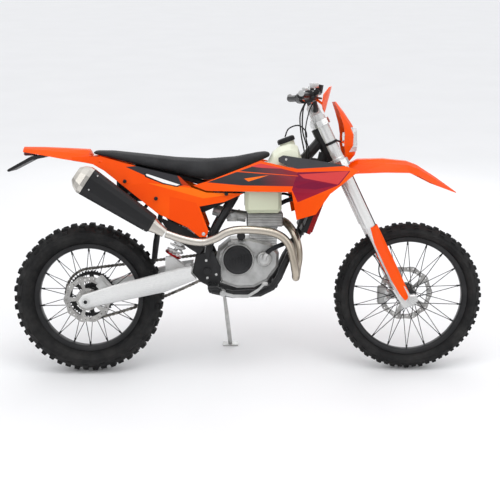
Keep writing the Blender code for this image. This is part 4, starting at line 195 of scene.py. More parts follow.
class Finish(Tree):
    def __init__(self, name, **sockets):
        self.material = bpy.data.materials.new(name)
        self.material.use_nodes = True
        super().__init__(self.material.node_tree)
        self.shader = self.tree.nodes["Principled BSDF"]
        for socket, value in sockets.items():
            self.shader.inputs[socket.replace("_", " ")].default_value = value
        self.place = self.node("ShaderNodeTexCoord", {}, [], "Object")

    def bikePlace(self):  # along and high in the motorcycle's upright axes
        back = bike.inverted()
        sizes = {1: tuple(back.translation), 2: tuple(back.to_euler())}
        turned = self.node("ShaderNodeMapping", {"vector_type": "POINT"}, {0: self.place, **sizes})
        return self.parts(turned)[::2]

    def around(self, centre):  # distance from the sideways axis through a hub
        sizes = {1: tuple(centre), 2: tuple(bike.to_euler())}
        turned = self.node("ShaderNodeMapping", {"vector_type": "TEXTURE"}, {0: self.place, **sizes})
        along, across, high = self.parts(turned)
        return (along * along + high * high) ** 0.5

    def noise(self, scale, detail=3.0, place=None):
        sizes = {"Vector": place or self.place, "Scale": scale, "Detail": detail, "Roughness": 0.55}
        return self.node("ShaderNodeTexNoise", {}, sizes)

    def cells(self, scale):
        return self.node("ShaderNodeTexVoronoi", {}, {"Vector": self.place, "Scale": scale})

    def stretched(self, factors):
        return self.node("ShaderNodeMapping", {}, {0: self.place, 3: factors})

    def dress(self, colour, roughness, metallic=None, height=None, depth=0.0004):
        links = {"Base Color": colour, "Roughness": roughness, "Metallic": metallic}
        if height is not None:
            sizes = {"Strength": 0.6, "Distance": depth, "Height": height}
            links["Normal"] = self.node("ShaderNodeBump", {}, sizes)
        for socket, field in links.items():
            if field is not None:
                self.tree.links.new(field.socket, self.shader.inputs[socket])
        return self.material


# finishes

tint = {
    "orange": (0.93, 0.095, 0.0015, 1), "orangeDeep": (0.88, 0.070, 0.001, 1),
    "orangeLight": (1.0, 0.165, 0.006, 1),
    "black": (0.012, 0.012, 0.013, 1), "blackWorn": (0.03, 0.03, 0.031, 1),
    "graphite": (0.035, 0.034, 0.038, 1), "crimson": (0.36, 0.012, 0.03, 1),
    "plum": (0.19, 0.006, 0.035, 1), "rose": (0.62, 0.05, 0.05, 1),
    "white": (0.85, 0.85, 0.84, 1), "rust": (0.42, 0.035, 0.006, 1),
    "rubber": (0.011, 0.011, 0.0115, 1), "rubberDusty": (0.028, 0.027, 0.026, 1),
    "alloy": (0.62, 0.62, 0.61, 1), "alloyDull": (0.42, 0.42, 0.41, 1),
    "bright": (0.83, 0.83, 0.82, 1), "brightDull": (0.66, 0.66, 0.65, 1),
    "steel": (0.58, 0.57, 0.55, 1), "steelDark": (0.34, 0.33, 0.32, 1),
    "pipe": (0.62, 0.59, 0.54, 1), "pipeHot": (0.50, 0.44, 0.36, 1),
    "tank": (0.80, 0.82, 0.66, 1), "tankDeep": (0.64, 0.67, 0.50, 1),
    "seat": (0.022, 0.022, 0.023, 1), "seatLight": (0.038, 0.038, 0.04, 1),
    "red": (0.32, 0.004, 0.006, 1), "redDeep": (0.18, 0.003, 0.004, 1),
    "glass": (0.9, 0.92, 0.94, 1), "glassDeep": (0.8, 0.83, 0.86, 1),
    "insert": (0.05, 0.05, 0.055, 1), "grooveShade": (0.12, 0.12, 0.12, 1), "silverPaintedShade": (0.52, 0.52, 0.52, 1),
    "chain": (0.3, 0.28, 0.25, 1), "grease": (0.05, 0.045, 0.04, 1), "springDirty": (0.6, 0.59, 0.56, 1),
    "anodised": (0.42, 0.012, 0.012, 1), "anodisedDeep": (0.3, 0.01, 0.01, 1),
    "floor": (0.86, 0.86, 0.865, 1), "floorLight": (0.88, 0.88, 0.885, 1),
}
plasticSheen = {"Specular_IOR_Level": 0.12, "Coat_Weight": 0.06, "Coat_Roughness": 0.12}


def orangeDrift(finish):
    return finish.noise(3.0).ramp(0.35, 0.7).mix(tint["orange"], tint["orangeDeep"])


def orangePlastic():
    finish = Finish("orangePlastic", **plasticSheen)
    scuffs = finish.noise(240.0, 2.0, finish.stretched((1.0, 1.0, 6.0))).ramp(0.3, 0.8, 0.24, 0.40)
    return finish.dress(orangeDrift(finish), scuffs, height=finish.noise(1800.0, 1.0), depth=0.00006)


def blackPlastic():
    finish = Finish("blackPlastic", Specular_IOR_Level=0.18)
    drift = finish.noise(6.0).ramp(0.35, 0.7)
    grain = finish.cells(900.0)
    rough = finish.noise(30.0).ramp(0.3, 0.7, 0.42, 0.56)
    return finish.dress(drift.mix(tint["black"], tint["blackWorn"]), rough, height=grain, depth=0.00012)


def blackMetal():
    finish = Finish("blackMetal", Specular_IOR_Level=0.25, Coat_Weight=0.08, Coat_Roughness=0.2)
    drift = finish.noise(9.0).ramp(0.4, 0.75)
    peel = finish.noise(420.0, 1.0)
    rough = finish.noise(40.0).ramp(0.3, 0.7, 0.3, 0.42)
    return finish.dress(drift.mix(tint["black"], tint["blackWorn"]), rough, height=peel, depth=0.00008)


def rubber():
    finish = Finish("rubber", Specular_IOR_Level=0.2)
    dust = finish.noise(14.0, 6.0).ramp(0.42, 0.75)
    grain = finish.noise(1300.0, 2.0)
    rough = finish.noise(60.0).ramp(0.3, 0.7, 0.58, 0.78)
    return finish.dress(dust.mix(tint["rubber"], tint["rubberDusty"]), rough, height=grain, depth=0.0001)


def castAlloy():
    finish = Finish("castAlloy", Metallic=0.85)
    blotch = finish.noise(18.0, 4.0).ramp(0.35, 0.7)
    sand = finish.noise(1500.0, 3.0)
    rough = finish.noise(80.0).ramp(0.3, 0.7, 0.38, 0.52)
    return finish.dress(blotch.mix(tint["alloy"], tint["alloyDull"]), rough, height=sand, depth=0.00015)


def brightAlloy():
    finish = Finish("brightAlloy", Metallic=0.9)
    blotch = finish.noise(12.0, 3.0).ramp(0.35, 0.7)
    lines = finish.noise(260.0, 2.0, finish.stretched((1.0, 1.0, 14.0)))
    return finish.dress(blotch.mix(tint["bright"], tint["brightDull"]), lines.ramp(0.3, 0.7, 0.22, 0.34),
                        height=lines, depth=0.00005)


def discSteel(hub):
    finish = Finish("discSteel", Metallic=1.0)
    rings = (finish.around(hub) * 5200.0).sine().ramp(-1.0, 1.0, 0.22, 0.36)
    blotch = finish.noise(30.0, 3.0).ramp(0.35, 0.7)
    return finish.dress(blotch.mix(tint["steel"], tint["steelDark"]), rings, height=rings, depth=0.00005)


def chainSteel():
    finish = Finish("chainSteel", Metallic=0.9)
    grease = finish.noise(55.0, 4.0).ramp(0.4, 0.65)
    return finish.dress(grease.mix(tint["chain"], tint["grease"]), grease.ramp(0, 1, 0.3, 0.5),
                        height=grease, depth=0.0001)


def exhaustSteel():
    finish = Finish("exhaustSteel", Metallic=1.0)
    along, high = finish.bikePlace()
    heat = (along + finish.noise(8.0) * 0.12).ramp(-0.25, 0.25)
    lines = finish.noise(500.0, 2.0, finish.stretched((12.0, 1.0, 1.0)))
    return finish.dress(heat.mix(tint["pipe"], tint["pipeHot"]), lines.ramp(0.3, 0.7, 0.24, 0.36),
                        height=lines, depth=0.00005)


def tankPlastic():
    finish = Finish("tankPlastic", Coat_Weight=0.15, Coat_Roughness=0.25)
    along, high = finish.bikePlace()
    # the tank's colour is darker towards the bottom and lighter towards the top
    towardsTop = (high + finish.noise(5.0) * 0.03).ramp(0.80, 1.06)
    grain = finish.noise(900.0, 2.0)
    return finish.dress(towardsTop.mix(tint["tankDeep"], tint["tank"]), grain.ramp(0.3, 0.7, 0.36, 0.46),
                        height=grain, depth=0.0001)


def seatCover():
    finish = Finish("seatCover", Specular_IOR_Level=0.2)
    along, high = finish.bikePlace()
    ribs = (along * 700.0).sine()
    grain = finish.cells(1400.0)
    wear = finish.noise(7.0).ramp(0.35, 0.7)
    return finish.dress(wear.mix(tint["seat"], tint["seatLight"]), grain.ramp(0.0, 0.6, 0.52, 0.72),
                        height=ribs * 0.6 + grain, depth=0.0005)


def springPaint():
    finish = Finish("springPaint", Coat_Weight=0.5, Coat_Roughness=0.1)
    dirt = finish.noise(30.0, 4.0).ramp(0.5, 0.8)
    return finish.dress(dirt.mix(tint["white"], tint["springDirty"]), dirt.ramp(0, 1, 0.25, 0.5))


def lampGlass():
    finish = Finish("lampGlass", Coat_Weight=0.8, Coat_Roughness=0.03, Transmission_Weight=0.35)
    lines = finish.noise(20.0, 1.0).ramp(0.3, 0.7)
    return finish.dress(lines.mix(tint["glass"], tint["glassDeep"]), lines.ramp(0, 1, 0.05, 0.12))


def lampRed():
    finish = Finish("lampRed", Coat_Weight=0.8, Coat_Roughness=0.05)
    cells = finish.cells(220.0)
    return finish.dress(cells.ramp(0.0, 0.5).mix(tint["red"], tint["redDeep"]), cells.ramp(0, 1, 0.12, 0.25),
                        height=cells, depth=0.0006)


def anodisedRed():
    finish = Finish("anodisedRed", Metallic=0.8)
    blotch = finish.noise(60.0, 2.0).ramp(0.3, 0.7)
    return finish.dress(blotch.mix(tint["anodised"], tint["anodisedDeep"]), blotch.ramp(0, 1, 0.25, 0.36))


finishes = {
    "orange_plastic": orangePlastic(), "black_plastic": blackPlastic(), "black_metal": blackMetal(),
    "tyre": rubber(), "cast_aluminium": castAlloy(), "bright_aluminium": brightAlloy(),
    "disc_steel": discSteel(rearHub), "exhaust_steel": exhaustSteel(), "tank_plastic": tankPlastic(),
    "seat_cover": seatCover(), "spring": springPaint(), "lens": lampGlass(), "lamp_red": lampRed(),
}
frontDiscSteel = discSteel(frontHub)
chainFinish = chainSteel()
redMetal = anodisedRed()
print("finishes mixed")


# CAD nodes keep their shapes and take a finish

ownFinish = {"front_disc": frontDiscSteel, "chain": chainFinish}


def dressNodes():
    for row in frame["record"]["subparts"]:
        name = row["node"]
        piece = nodes[name]
        chosen = ownFinish.get(name, finishes[row["material_slot"]])
        piece.data.materials.clear()
        piece.data.materials.append(chosen)
    print("nodes dressed")


def addFloor():
    finish = Finish("paleFloor")
    drift = finish.noise(1.5, 2.0).ramp(0.3, 0.7)
    material = finish.dress(drift.mix(tint["floor"], tint["floorLight"]), drift.ramp(0, 1, 0.7, 0.8))
    half = studio["floorSize"] / 2
    mesh = bpy.data.meshes.new("floor")
    corners = [(-half, -half, 0), (half, -half, 0), (half, half, 0), (-half, half, 0)]
    mesh.from_pydata(corners, [], [(0, 1, 2, 3)])
    mesh.materials.append(material)
    floor = bpy.data.objects.new("floor", mesh)
    bpy.context.scene.collection.objects.link(floor)
    print("floor laid")


# shapes are drawn in the upright axes and moved into the leaning frame when they become pieces


def onMesh(name, shape, finish, smoothAngle=35, moved=None):
    bmesh.ops.remove_doubles(shape, verts=shape.verts, dist=0.00001)
    bmesh.ops.recalc_face_normals(shape, faces=shape.faces)
    shape.transform(bike if moved is None else moved)
    mesh = bpy.data.meshes.new(name)
    shape.to_mesh(mesh)
    shape.free()
    mesh.materials.append(finish)
    mesh.shade_smooth()
    mesh.set_sharp_from_angle(angle=math.radians(smoothAngle))
    made = bpy.data.objects.new(name, mesh)
    bpy.context.scene.collection.objects.link(made)
    return made


def addPiece(name, shape, finish, body, standsFor=(), smoothAngle=35):
    made = onMesh(name, shape, finish, smoothAngle)
    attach(made, body)
    if standsFor:
        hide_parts(*standsFor)
    return made


def joined(shapes):
    whole = bmesh.new()
    for shape in shapes:
        part = bpy.data.meshes.new("part")
        shape.to_mesh(part)
        shape.free()
        whole.from_mesh(part)
        bpy.data.meshes.remove(part)
    return whole


# a lathe's profile points are a radius and a distance along the axis
def lathe(profile, centre, axis=(0, 1, 0), segments=64, closed=False):
    turn = Vector(axis).to_track_quat("Z", "Y").to_matrix().to_4x4()
    turn.translation = Vector(centre)
    shape = bmesh.new()
    loops = []
    angles = [2 * math.pi * step / segments for step in range(segments)]
    for radius, along in profile:
        if radius:
            ring = [(radius * math.cos(a), radius * math.sin(a), along) for a in angles]
            loops.append([shape.verts.new(place) for place in ring])
        else:
            loops.append([shape.verts.new((0, 0, along))] * segments)
    spans = list(zip(loops, loops[1:])) + ([(loops[-1], loops[0])] if closed else [])
    for first, second in spans:
        for step in range(segments):
            after = (step + 1) % segments
            corners = []
            for corner in (first[step], first[after], second[after], second[step]):
                if corner not in corners:
                    corners.append(corner)
            if len(corners) > 2:
                shape.faces.new(corners)
    if not closed:
        for loop in (loops[0], loops[-1]):
            if len(set(loop)) > 2:
                shape.faces.new(loop)
    shape.transform(turn)
    return shape


def box(low, high, bevel=0.0):
    shape = bmesh.new()
    bmesh.ops.create_cube(shape, size=1)
    low, high = Vector(low), Vector(high)
    for vert in shape.verts:
        vert.co = (low + high) / 2 + vert.co * (high - low)
    if bevel:
        bmesh.ops.bevel(shape, geom=shape.edges[:], offset=bevel, segments=2, profile=0.6, affect="EDGES")
    return shape


def curveThrough(points, steps=8):
    points = [Vector(point) for point in points]
    found = []
    for i, (near, far) in enumerate(zip(points, points[1:])):
        before = points[i - 1] if i else near * 2 - far
        after = points[i + 2] if i + 2 < len(points) else far * 2 - near
        for step in range(steps):
            t = step / steps
            squared = (before * 2 - near * 5 + far * 4 - after) * t * t
            cubed = (near * 3 - before - far * 3 + after) * t * t * t
            found.append((near * 2 + (far - before) * t + squared + cubed) / 2)
    return found + [points[-1]]


def tube(points, radius, sides=10):
    shape = bmesh.new()
    loops = []
    across = None
    for i, point in enumerate(points):
        ahead = (points[min(i + 1, len(points) - 1)] - points[max(i - 1, 0)]).normalized()
        across = ahead.orthogonal() if across is None else across - ahead * across.dot(ahead)
        across.normalize()
        other = ahead.cross(across)
        loops.append([
            shape.verts.new(point + (across * math.cos(a) + other * math.sin(a)) * radius)
            for a in (2 * math.pi * step / sides for step in range(sides))
        ])
    for first, second in zip(loops, loops[1:]):
        for step in range(sides):
            after = (step + 1) % sides
            shape.faces.new((first[step], first[after], second[after], second[step]))
    shape.faces.new(loops[0])
    shape.faces.new(loops[-1])
    return shape


def plate(loops, low, high):  # outlines in X and Z, the first around the others, between two sides in Y
    shape = bmesh.new()
    for loop in loops:
        verts = [shape.verts.new((x, low, z)) for x, z in loop]
        for first, second in zip(verts, verts[1:] + verts[:1]):
            shape.edges.new((first, second))
    bmesh.ops.triangle_fill(shape, use_beauty=True, edges=shape.edges[:])
    raised = bmesh.ops.extrude_face_region(shape, geom=shape.faces[:])
    for item in raised["geom"]:
        if isinstance(item, bmesh.types.BMVert):
            item.co.y = high
    return shape


def circle(x, z, radius, sides=12):
    turns = [2 * math.pi * step / sides for step in range(sides)]
    return [(x + radius * math.cos(a), z + radius * math.sin(a)) for a in turns]


def polar(centre, radius, turn):
    return centre.x + radius * math.cos(turn), centre.z + radius * math.sin(turn)


# geometry nodes: copies on a circle, and copies along a path

class Growth(Tree):
    def __init__(self, name, inputs):
        group = bpy.data.node_groups.new(name, "GeometryNodeTree")
        group.interface.new_socket("Geometry", in_out="INPUT", socket_type="NodeSocketGeometry")
        for title, kind in inputs:
            group.interface.new_socket(title, in_out="INPUT", socket_type=kind)
        group.interface.new_socket("Geometry", in_out="OUTPUT", socket_type="NodeSocketGeometry")
        super().__init__(group)
        self.entry = group.nodes.new("NodeGroupInput")

    def given(self, title):
        return Field(self, self.entry.outputs[title])

    def shapeOf(self, title):
        return self.node("GeometryNodeObjectInfo", {}, {"Object": self.given(title)}, "Geometry")

    def ends(self, geometry, finish):
        real = self.node("GeometryNodeRealizeInstances", {}, {"Geometry": geometry})
        dressed = self.node("GeometryNodeSetMaterial", {}, {"Geometry": real, "Material": finish})
        leaving = self.tree.nodes.new("NodeGroupOutput")
        self.tree.links.new(dressed.socket, leaving.inputs["Geometry"])
        return self.tree


def ringTree():
    inputs = [("Shape", "NodeSocketObject"), ("Count", "NodeSocketInt"), ("Finish", "NodeSocketMaterial")]
    tree = Growth("copiesOnCircle", inputs)
    count = tree.given("Count")
    stacked = {"Count": count, "Start Location": (0, 0, 0), "Offset": (0, 0, 0)}
    points = tree.node("GeometryNodeMeshLine", {}, stacked)
    angle = tree.node("GeometryNodeInputIndex", {}, []) * (2 * math.pi) / count
    turned = tree.node("ShaderNodeCombineXYZ", {}, [0.0, 0.0, angle])
    sown = {"Points": points, "Instance": tree.shapeOf("Shape"), "Rotation": turned}
    return tree.ends(tree.node("GeometryNodeInstanceOnPoints", {}, sown), tree.given("Finish"))


def pathTree():
    inputs = [("Shape", "NodeSocketObject"), ("Count", "NodeSocketInt"), ("Finish", "NodeSocketMaterial")]
    tree = Growth("copiesAlongPath", inputs)
    curve = tree.node("GeometryNodeMeshToCurve", {}, {"Mesh": tree.given("Geometry")})
    points = tree.node("GeometryNodeResampleCurve", {}, {"Curve": curve, "Count": tree.given("Count")})
    tangent = tree.node("GeometryNodeInputTangent", {}, [])
    facing = {"axis": "X", "pivot_axis": "Y"}
    turned = tree.node("FunctionNodeAlignEulerToVector", facing, {"Vector": tangent})
    sown = {"Points": points, "Instance": tree.shapeOf("Shape"), "Rotation": turned}
    return tree.ends(tree.node("GeometryNodeInstanceOnPoints", {}, sown), tree.given("Finish"))


onCircle, onPath = ringTree(), pathTree()


def grown(tree, carrier, shape, finish, **values):  # the mesh that a tree makes of copies of a shape
    source = onMesh("source", shape, finish, moved=Matrix.Identity(4))
    modifier = carrier.modifiers.new("growth", "NODES")
    modifier.node_group = tree
    values = {"Shape": source, "Finish": finish, **values}
    for item in tree.interface.items_tree:
        if item.in_out == "INPUT" and item.name in values:
            modifier[item.identifier] = values[item.name]
    depsgraph = bpy.context.evaluated_depsgraph_get()
    mesh = bpy.data.meshes.new_from_object(carrier.evaluated_get(depsgraph), depsgraph=depsgraph)
    found = bmesh.new()
    found.from_mesh(mesh)
    for old in (carrier, source):
        bpy.data.objects.remove(old, do_unlink=True)
    return found


def around(centre, shape, finish, count):  # a shape drawn off Z, copied about a sideways axis
    carrier = onMesh("carrier", bmesh.new(), finish, moved=Matrix.Identity(4))
    found = grown(onCircle, carrier, shape, finish, Count=count)
    found.transform(Matrix.Translation(centre) @ Matrix.Rotation(math.radians(-90), 4, "X"))
    return found


# tyres: a carcass with rows of knobs that stay inside the solid tyre's outline

hubs = {"front": Vector((0.7425, 0, 0.3485)), "rear": Vector((-0.7425, 0, 0.351))}
tyres = {  # rows of knobs: half step forwards, distance from the middle, width, length
    "front": {
        "tip": 0.3480, "half": 0.0475, "bead": 0.2670, "beadSide": 0.0205, "depth": 0.0105, "pairs": 32,
        "rows": [(0, 0.0105, 0.017, 0.018), (1, 0.0265, 0.015, 0.018), (1, 0.0410, 0.010, 0.020)],
    },
    "rear": {
        "tip": 0.3503, "half": 0.0622, "bead": 0.2416, "beadSide": 0.0255, "depth": 0.0145, "pairs": 25,
        "rows": [(0, 0.0140, 0.023, 0.022), (1, 0.0350, 0.020, 0.023), (1, 0.0545, 0.013, 0.026)],
    },
}
tyreShape = {
    "drop": 0.092, "power": 2.5, "knobTilt": 0.55, "knobRoot": (0.002, 1.22),
    "knobTop": [(-0.0030, 1.0), (-0.0020, 0.9)],  # depth below the crown, share of the knob's size
    "tread": (0.0, 0.2, 0.4, 0.6, 0.75, 0.88),  # shares of the half width
    "wall": [  # shares of the height over the bead, of the half width
        (0.60, 0.965), (0.585, 0.985), (0.565, 0.965), (0.44, 0.99), (0.425, 0.999), (0.41, 0.985),
        (0.27, 0.86),
    ],
    "neck": (0.17, 0.35), "seat": 0.0105,
}


def crown(sizes, side):  # the radius of the tread's round, and its slope, at a distance from the middle
    share = min(abs(side) / sizes["half"], 1.0)
    drop, power = tyreShape["drop"], tyreShape["power"]
    slope = drop * power * share ** (power - 1) * sizes["tip"] / sizes["half"]
    return sizes["tip"] * (1 - drop * share ** power), slope


def knob(sizes, side, width, length, turn, sign):
    radius, slope = crown(sizes, side)
    tilt = math.atan(slope * tyreShape["knobTilt"]) * sign
    place = Matrix.Rotation(turn, 4, "Z") @ Matrix.Translation((radius, 0, side * sign))
    place = place @ Matrix.Rotation(-tilt, 4, "Y")
    shape = bmesh.new()
    sunk, spread = tyreShape["knobRoot"]
    for depth, size in ((-sizes["depth"] - sunk, spread), *tyreShape["knobTop"]):
        for a, b in ((-1, -1), (1, -1), (1, 1), (-1, 1)):
            shape.verts.new(place @ Vector((depth, a * length / 2 * size, b * width / 2 * size)))
    shape.verts.ensure_lookup_table()
    for base in (0, 4):
        for i in range(4):
            j = (i + 1) % 4
            shape.faces.new([shape.verts[base + k] for k in (i, j, j + 4, i + 4)])
    shape.faces.new(shape.verts[8:12])
    shape.faces.new(shape.verts[0:4])
    return shape


def addTyre(end):
    sizes = tyres[end]
    knobs = [
        knob(sizes, side, width, length, row * math.pi / sizes["pairs"], sign)
        for row, side, width, length in sizes["rows"] for sign in (-1, 1)
    ]
    rows = around(hubs[end], joined(knobs), finishes["tyre"], sizes["pairs"])
    half, bead, beadSide = sizes["half"], sizes["bead"], sizes["beadSide"]
    profile = [(crown(sizes, half * share)[0] - sizes["depth"], half * share) for share in tyreShape["tread"]]
    span = sizes["tip"] - bead
    profile += [(bead + span * high, half * wide) for high, wide in tyreShape["wall"]]
    neckHigh, neckWide = tyreShape["neck"]
    profile.append((bead + span * neckHigh, beadSide + (half - beadSide) * neckWide))
    profile += [(bead + tyreShape["seat"], beadSide), (bead, beadSide)]
    profile += [(radius, -side) for radius, side in profile[:0:-1]]
    shape = joined([lathe(profile, hubs[end], segments=128, closed=True), rows])
    addPiece(f"{end}TyreKnobbed", shape, finishes["tyre"], f"{end}_wheel", [f"{end}_tyre"], 30)
    print(end, "tyre knobbed")


# wheels: rim, hub, nipples and crossing spokes

wheels = {
    "front": {"bead": 0.2664, "rimHalf": 0.025, "hubHalf": 0.038, "spokes": 36},
    "rear": {"bead": 0.2410, "rimHalf": 0.030, "hubHalf": 0.052, "spokes": 36},
}
wheelShape = {
    "rim": [  # past the bead, share of the half width, past that share
        (0.0, 1, -0.004), (0.0085, 1, -0.004), (0.010, 1, -0.003), (0.010, 1, 0.0), (0.007, 1, 0.0),
        (-0.003, 1, -0.002), (-0.010, 1, -0.006), (-0.0130, 0.55, 0.0), (-0.0135, 0.2, 0.0),
    ],
    "waist": 0.024,
    "hub": [  # radius, distance in from the hub's end
        (0.024, 0.020), (0.028, 0.011), (0.036, 0.008), (0.0365, 0.001), (0.034, 0.0), (0.020, 0.0),
        (0.019, 0.002), (0.0112, 0.002),
    ],
}
spoke = {
    "rootRadius": 0.0325, "lean": 4, "skew": 5, "cross": 56, "inset": 0.0045, "stagger": 0.003,
    "edge": 0.0115, "tipShare": 0.25, "radius": 0.0018, "nippleLength": 0.018, "nippleRadius": 0.0032,
}


def lacing(sizes):  # the four spokes that repeat around a wheel, drawn about Z
    shapes = []
    edge, wide = sizes["bead"] - spoke["edge"], sizes["rimHalf"] * spoke["tipShare"]
    for side, lean in ((-1, -1), (-1, 1), (1, -1), (1, 1)):
        start = math.radians(lean * spoke["lean"] + side * spoke["skew"])
        stop = start + math.radians(lean * spoke["cross"] + side * spoke["skew"])
        reach = side * (sizes["hubHalf"] - spoke["inset"] + lean * spoke["stagger"])
        root = Vector((spoke["rootRadius"] * math.cos(start), spoke["rootRadius"] * math.sin(start), reach))
        tip = Vector((edge * math.cos(stop), edge * math.sin(stop), side * wide))
        nipple = tip - (tip - root).normalized() * spoke["nippleLength"]
        shapes += [tube([root, tip], spoke["radius"], 6), tube([nipple, tip], spoke["nippleRadius"], 6)]
    return joined(shapes)


def addWheel(end):
    sizes = wheels[end]
    half, reach = sizes["rimHalf"], sizes["hubHalf"]
    outer = [(sizes["bead"] + past, half * share + beyond) for past, share, beyond in wheelShape["rim"]]
    outer += [(radius, -side) for radius, side in outer[::-1]]
    rim = lathe(outer, hubs[end], segments=96, closed=True)
    hub = [(wheelShape["waist"], 0.0)] + [(radius, reach - inset) for radius, inset in wheelShape["hub"]]
    hub = hub[::-1] + [(radius, -side) for radius, side in hub]
    core = lathe(hub, hubs[end], segments=40, closed=True)
    black, wheel = finishes["black_metal"], f"{end}_wheel"
    laced = around(hubs[end], lacing(sizes), black, sizes["spokes"] // 4)
    addPiece(f"{end}WheelLaced", joined([rim, core, laced]), black, wheel, [wheel])
    print(end, "wheel laced")


# brake discs and rear sprocket: flat blades with windows, on a boss that reaches to the hub

boreRadius, bossRadius, gap = 0.0135, 0.034, 0.0003
discs = {
    "front": {"radius": 0.130, "side": 0.058, "hubEnd": 0.038},
    "rear": {"radius": 0.110, "side": -0.070, "hubEnd": -0.052},
}
blade = {
    "half": 0.0018, "petals": 10, "trough": 0.0035, "wave": 0.0034,
    "windowDrop": 0.0275, "windows": (0.052, 5, 0.13),  # inner radius, count, half the angle of a web
    "holes": 30, "holeRadius": 0.0030, "holeDrops": (0.010, 0.0145, 0.019),
    "bolts": 5, "boltReach": 0.044,
    "bolt": [(0.0, 0.0), (0.0055, 0.0), (0.0055, 0.003), (0.0035, 0.0045), (0.0, 0.0045)],
}
sprocket = {
    "teeth": 48, "pitch": 0.015875, "side": 0.077, "half": 0.003, "hubEnd": 0.052,
    "tooth": [  # share of a tooth, distance from the pitch circle
        (0.0, -0.0082), (0.12, -0.0086), (0.30, -0.0135), (0.5, -0.0150), (0.70, -0.0135), (0.88, -0.0086),
    ],
    "windows": (0.092, 0.053, 6, 0.11),  # outer and inner radius, count, half the angle of a web
}


def pitchRadius(teeth):
    return sprocket["pitch"] / (2 * math.sin(math.pi / teeth))


def petals(centre, base, wave, count, samples=8):
    turns = [2 * math.pi * step / (count * samples) for step in range(count * samples)]
    return [polar(centre, base + wave * math.cos(count * turn), turn) for turn in turns]


def windows(centre, outer, inner, count, web):
    found = []
    for step in range(count):
        first = 2 * math.pi * (step + 0.5) / count + web
        span = 2 * math.pi / count - 2 * web
        turns = [first + span * k / 8 for k in range(9)]
        wide = [polar(centre, outer, a) for a in turns]
        found.append(wide + [polar(centre, inner, a) for a in turns[::-1]])
    return found


def boss(centre, *ends):
    low, high = sorted(ends)
    profile = [(boreRadius, low), (bossRadius, low), (bossRadius, high), (boreRadius, high)]
    return lathe(profile, centre, segments=40, closed=True)


def addDisc(end, finish):
    centre, radius, side = hubs[end], discs[end]["radius"], discs[end]["side"]
    half, outward = blade["half"], math.copysign(1, side)
    loops = [petals(centre, radius - blade["trough"], blade["wave"], blade["petals"])]
    loops += windows(centre, radius - blade["windowDrop"], *blade["windows"])
    for step in range(blade["holes"]):
        place = polar(centre, radius - blade["holeDrops"][step % 3], 2 * math.pi * step / blade["holes"])
        loops.append(circle(*place, blade["holeRadius"], 8))
    loops.append(circle(centre.x, centre.z, boreRadius, 24))
    hub = boss(centre, discs[end]["hubEnd"] + outward * gap, side - outward * half)
    bolt = lathe(blade["bolt"], (blade["boltReach"], 0, 0), (0, 0, outward), 8)
    ring = around(centre + Vector((0, side + outward * half, 0)), bolt, finish, blade["bolts"])
    shape = joined([plate(loops, side - half, side + half), hub, ring])
    addPiece(f"{end}DiscPetals", shape, finish, f"{end}_wheel", [f"{end}_disc"], 30)


def addSprocket():
    centre, side, half, teeth = hubs["rear"], sprocket["side"], sprocket["half"], sprocket["teeth"]
    outline = [
        polar(centre, pitchRadius(teeth) + reach, 2 * math.pi * (tooth + share) / teeth)
        for tooth in range(teeth) for share, reach in sprocket["tooth"]
    ]
    loops = [outline, *windows(centre, *sprocket["windows"]), circle(centre.x, centre.z, boreRadius, 24)]
    hub = boss(centre, sprocket["hubEnd"] + gap, side - half)
    shape, slot = joined([plate(loops, side - half, side + half), hub]), "black_metal"
    addPiece("rearSprocketCut", shape, finishes[slot], "rear_wheel", ["rear_sprocket"], 30)
    print("discs and sprocket cut")


# graphics: a mark is a tint and a convex outline in the side view; later marks cover earlier ones

panelMarks = [
    ("orangeLight", [(-0.640, 0.940), (-0.460, 0.890), (-0.200, 0.860), (-0.060, 0.838),
                     (-0.235, 0.815), (-0.355, 0.845), (-0.560, 0.880)]),
    ("orangeDeep", [(-0.355, 0.830), (-0.235, 0.800), (-0.190, 0.655), (-0.360, 0.700)]),
    ("graphite", [(-0.566, 0.959), (-0.4643, 0.968), (-0.3004, 0.935), (-0.1982, 0.8924),
                  (-0.3465, 0.869), (-0.4593, 0.919)]),
    ("rust", [(-0.3255, 0.930), (-0.180, 0.900), (-0.2456, 0.8700), (-0.300, 0.880)]),
    ("black", [(-0.4700, 0.9320), (-0.4524, 0.9330), (-0.2960, 0.8810), (-0.3200, 0.8700),
               (-0.3860, 0.8840), (-0.4640, 0.9150)]),
    ("white", [(-0.4619, 0.9288), (-0.4524, 0.9288), (-0.3062, 0.8806), (-0.3237, 0.8756),
               (-0.3836, 0.8890), (-0.4580, 0.9200)]),
]
shroudBands = {
    "rear": [(-0.190, 0.8900), (0.050, 0.9730), (0.2169, 0.9350), (0.2150, 0.8740), (-0.030, 0.8770)],
    "front": [(0.2150, 0.9360), (0.4480, 0.9430), (0.3950, 0.8810), (0.2140, 0.8040), (0.1880, 0.8600)],
    "insert": [(0.125, 0.972), (0.2153, 0.9495), (0.425, 0.9625), (0.44, 0.968), (0.30, 1.02), (0.132, 1.02)],
}
shroudMarks = [
    ("rose", [(0.2200, 0.9270), (0.4420, 0.9420), (0.3900, 0.8830), (0.2400, 0.9100)]),
    ("plum", [(0.1990, 0.8750), (0.2790, 0.8970), (0.3900, 0.8810), (0.2930, 0.8610), (0.2120, 0.8660)]),
    ("rose", [(0.0050, 0.9600), (0.0530, 0.9740), (0.1600, 0.9500), (0.0570, 0.9540)]),
    ("orange", [(-0.058, 0.9410), (0.2169, 0.9210), (0.2169, 0.9180), (-0.058, 0.9365)]),
    ("orangeLight", [(-0.0227, 0.9075), (0.0930, 0.9240), (-0.0030, 0.8945)]),
]


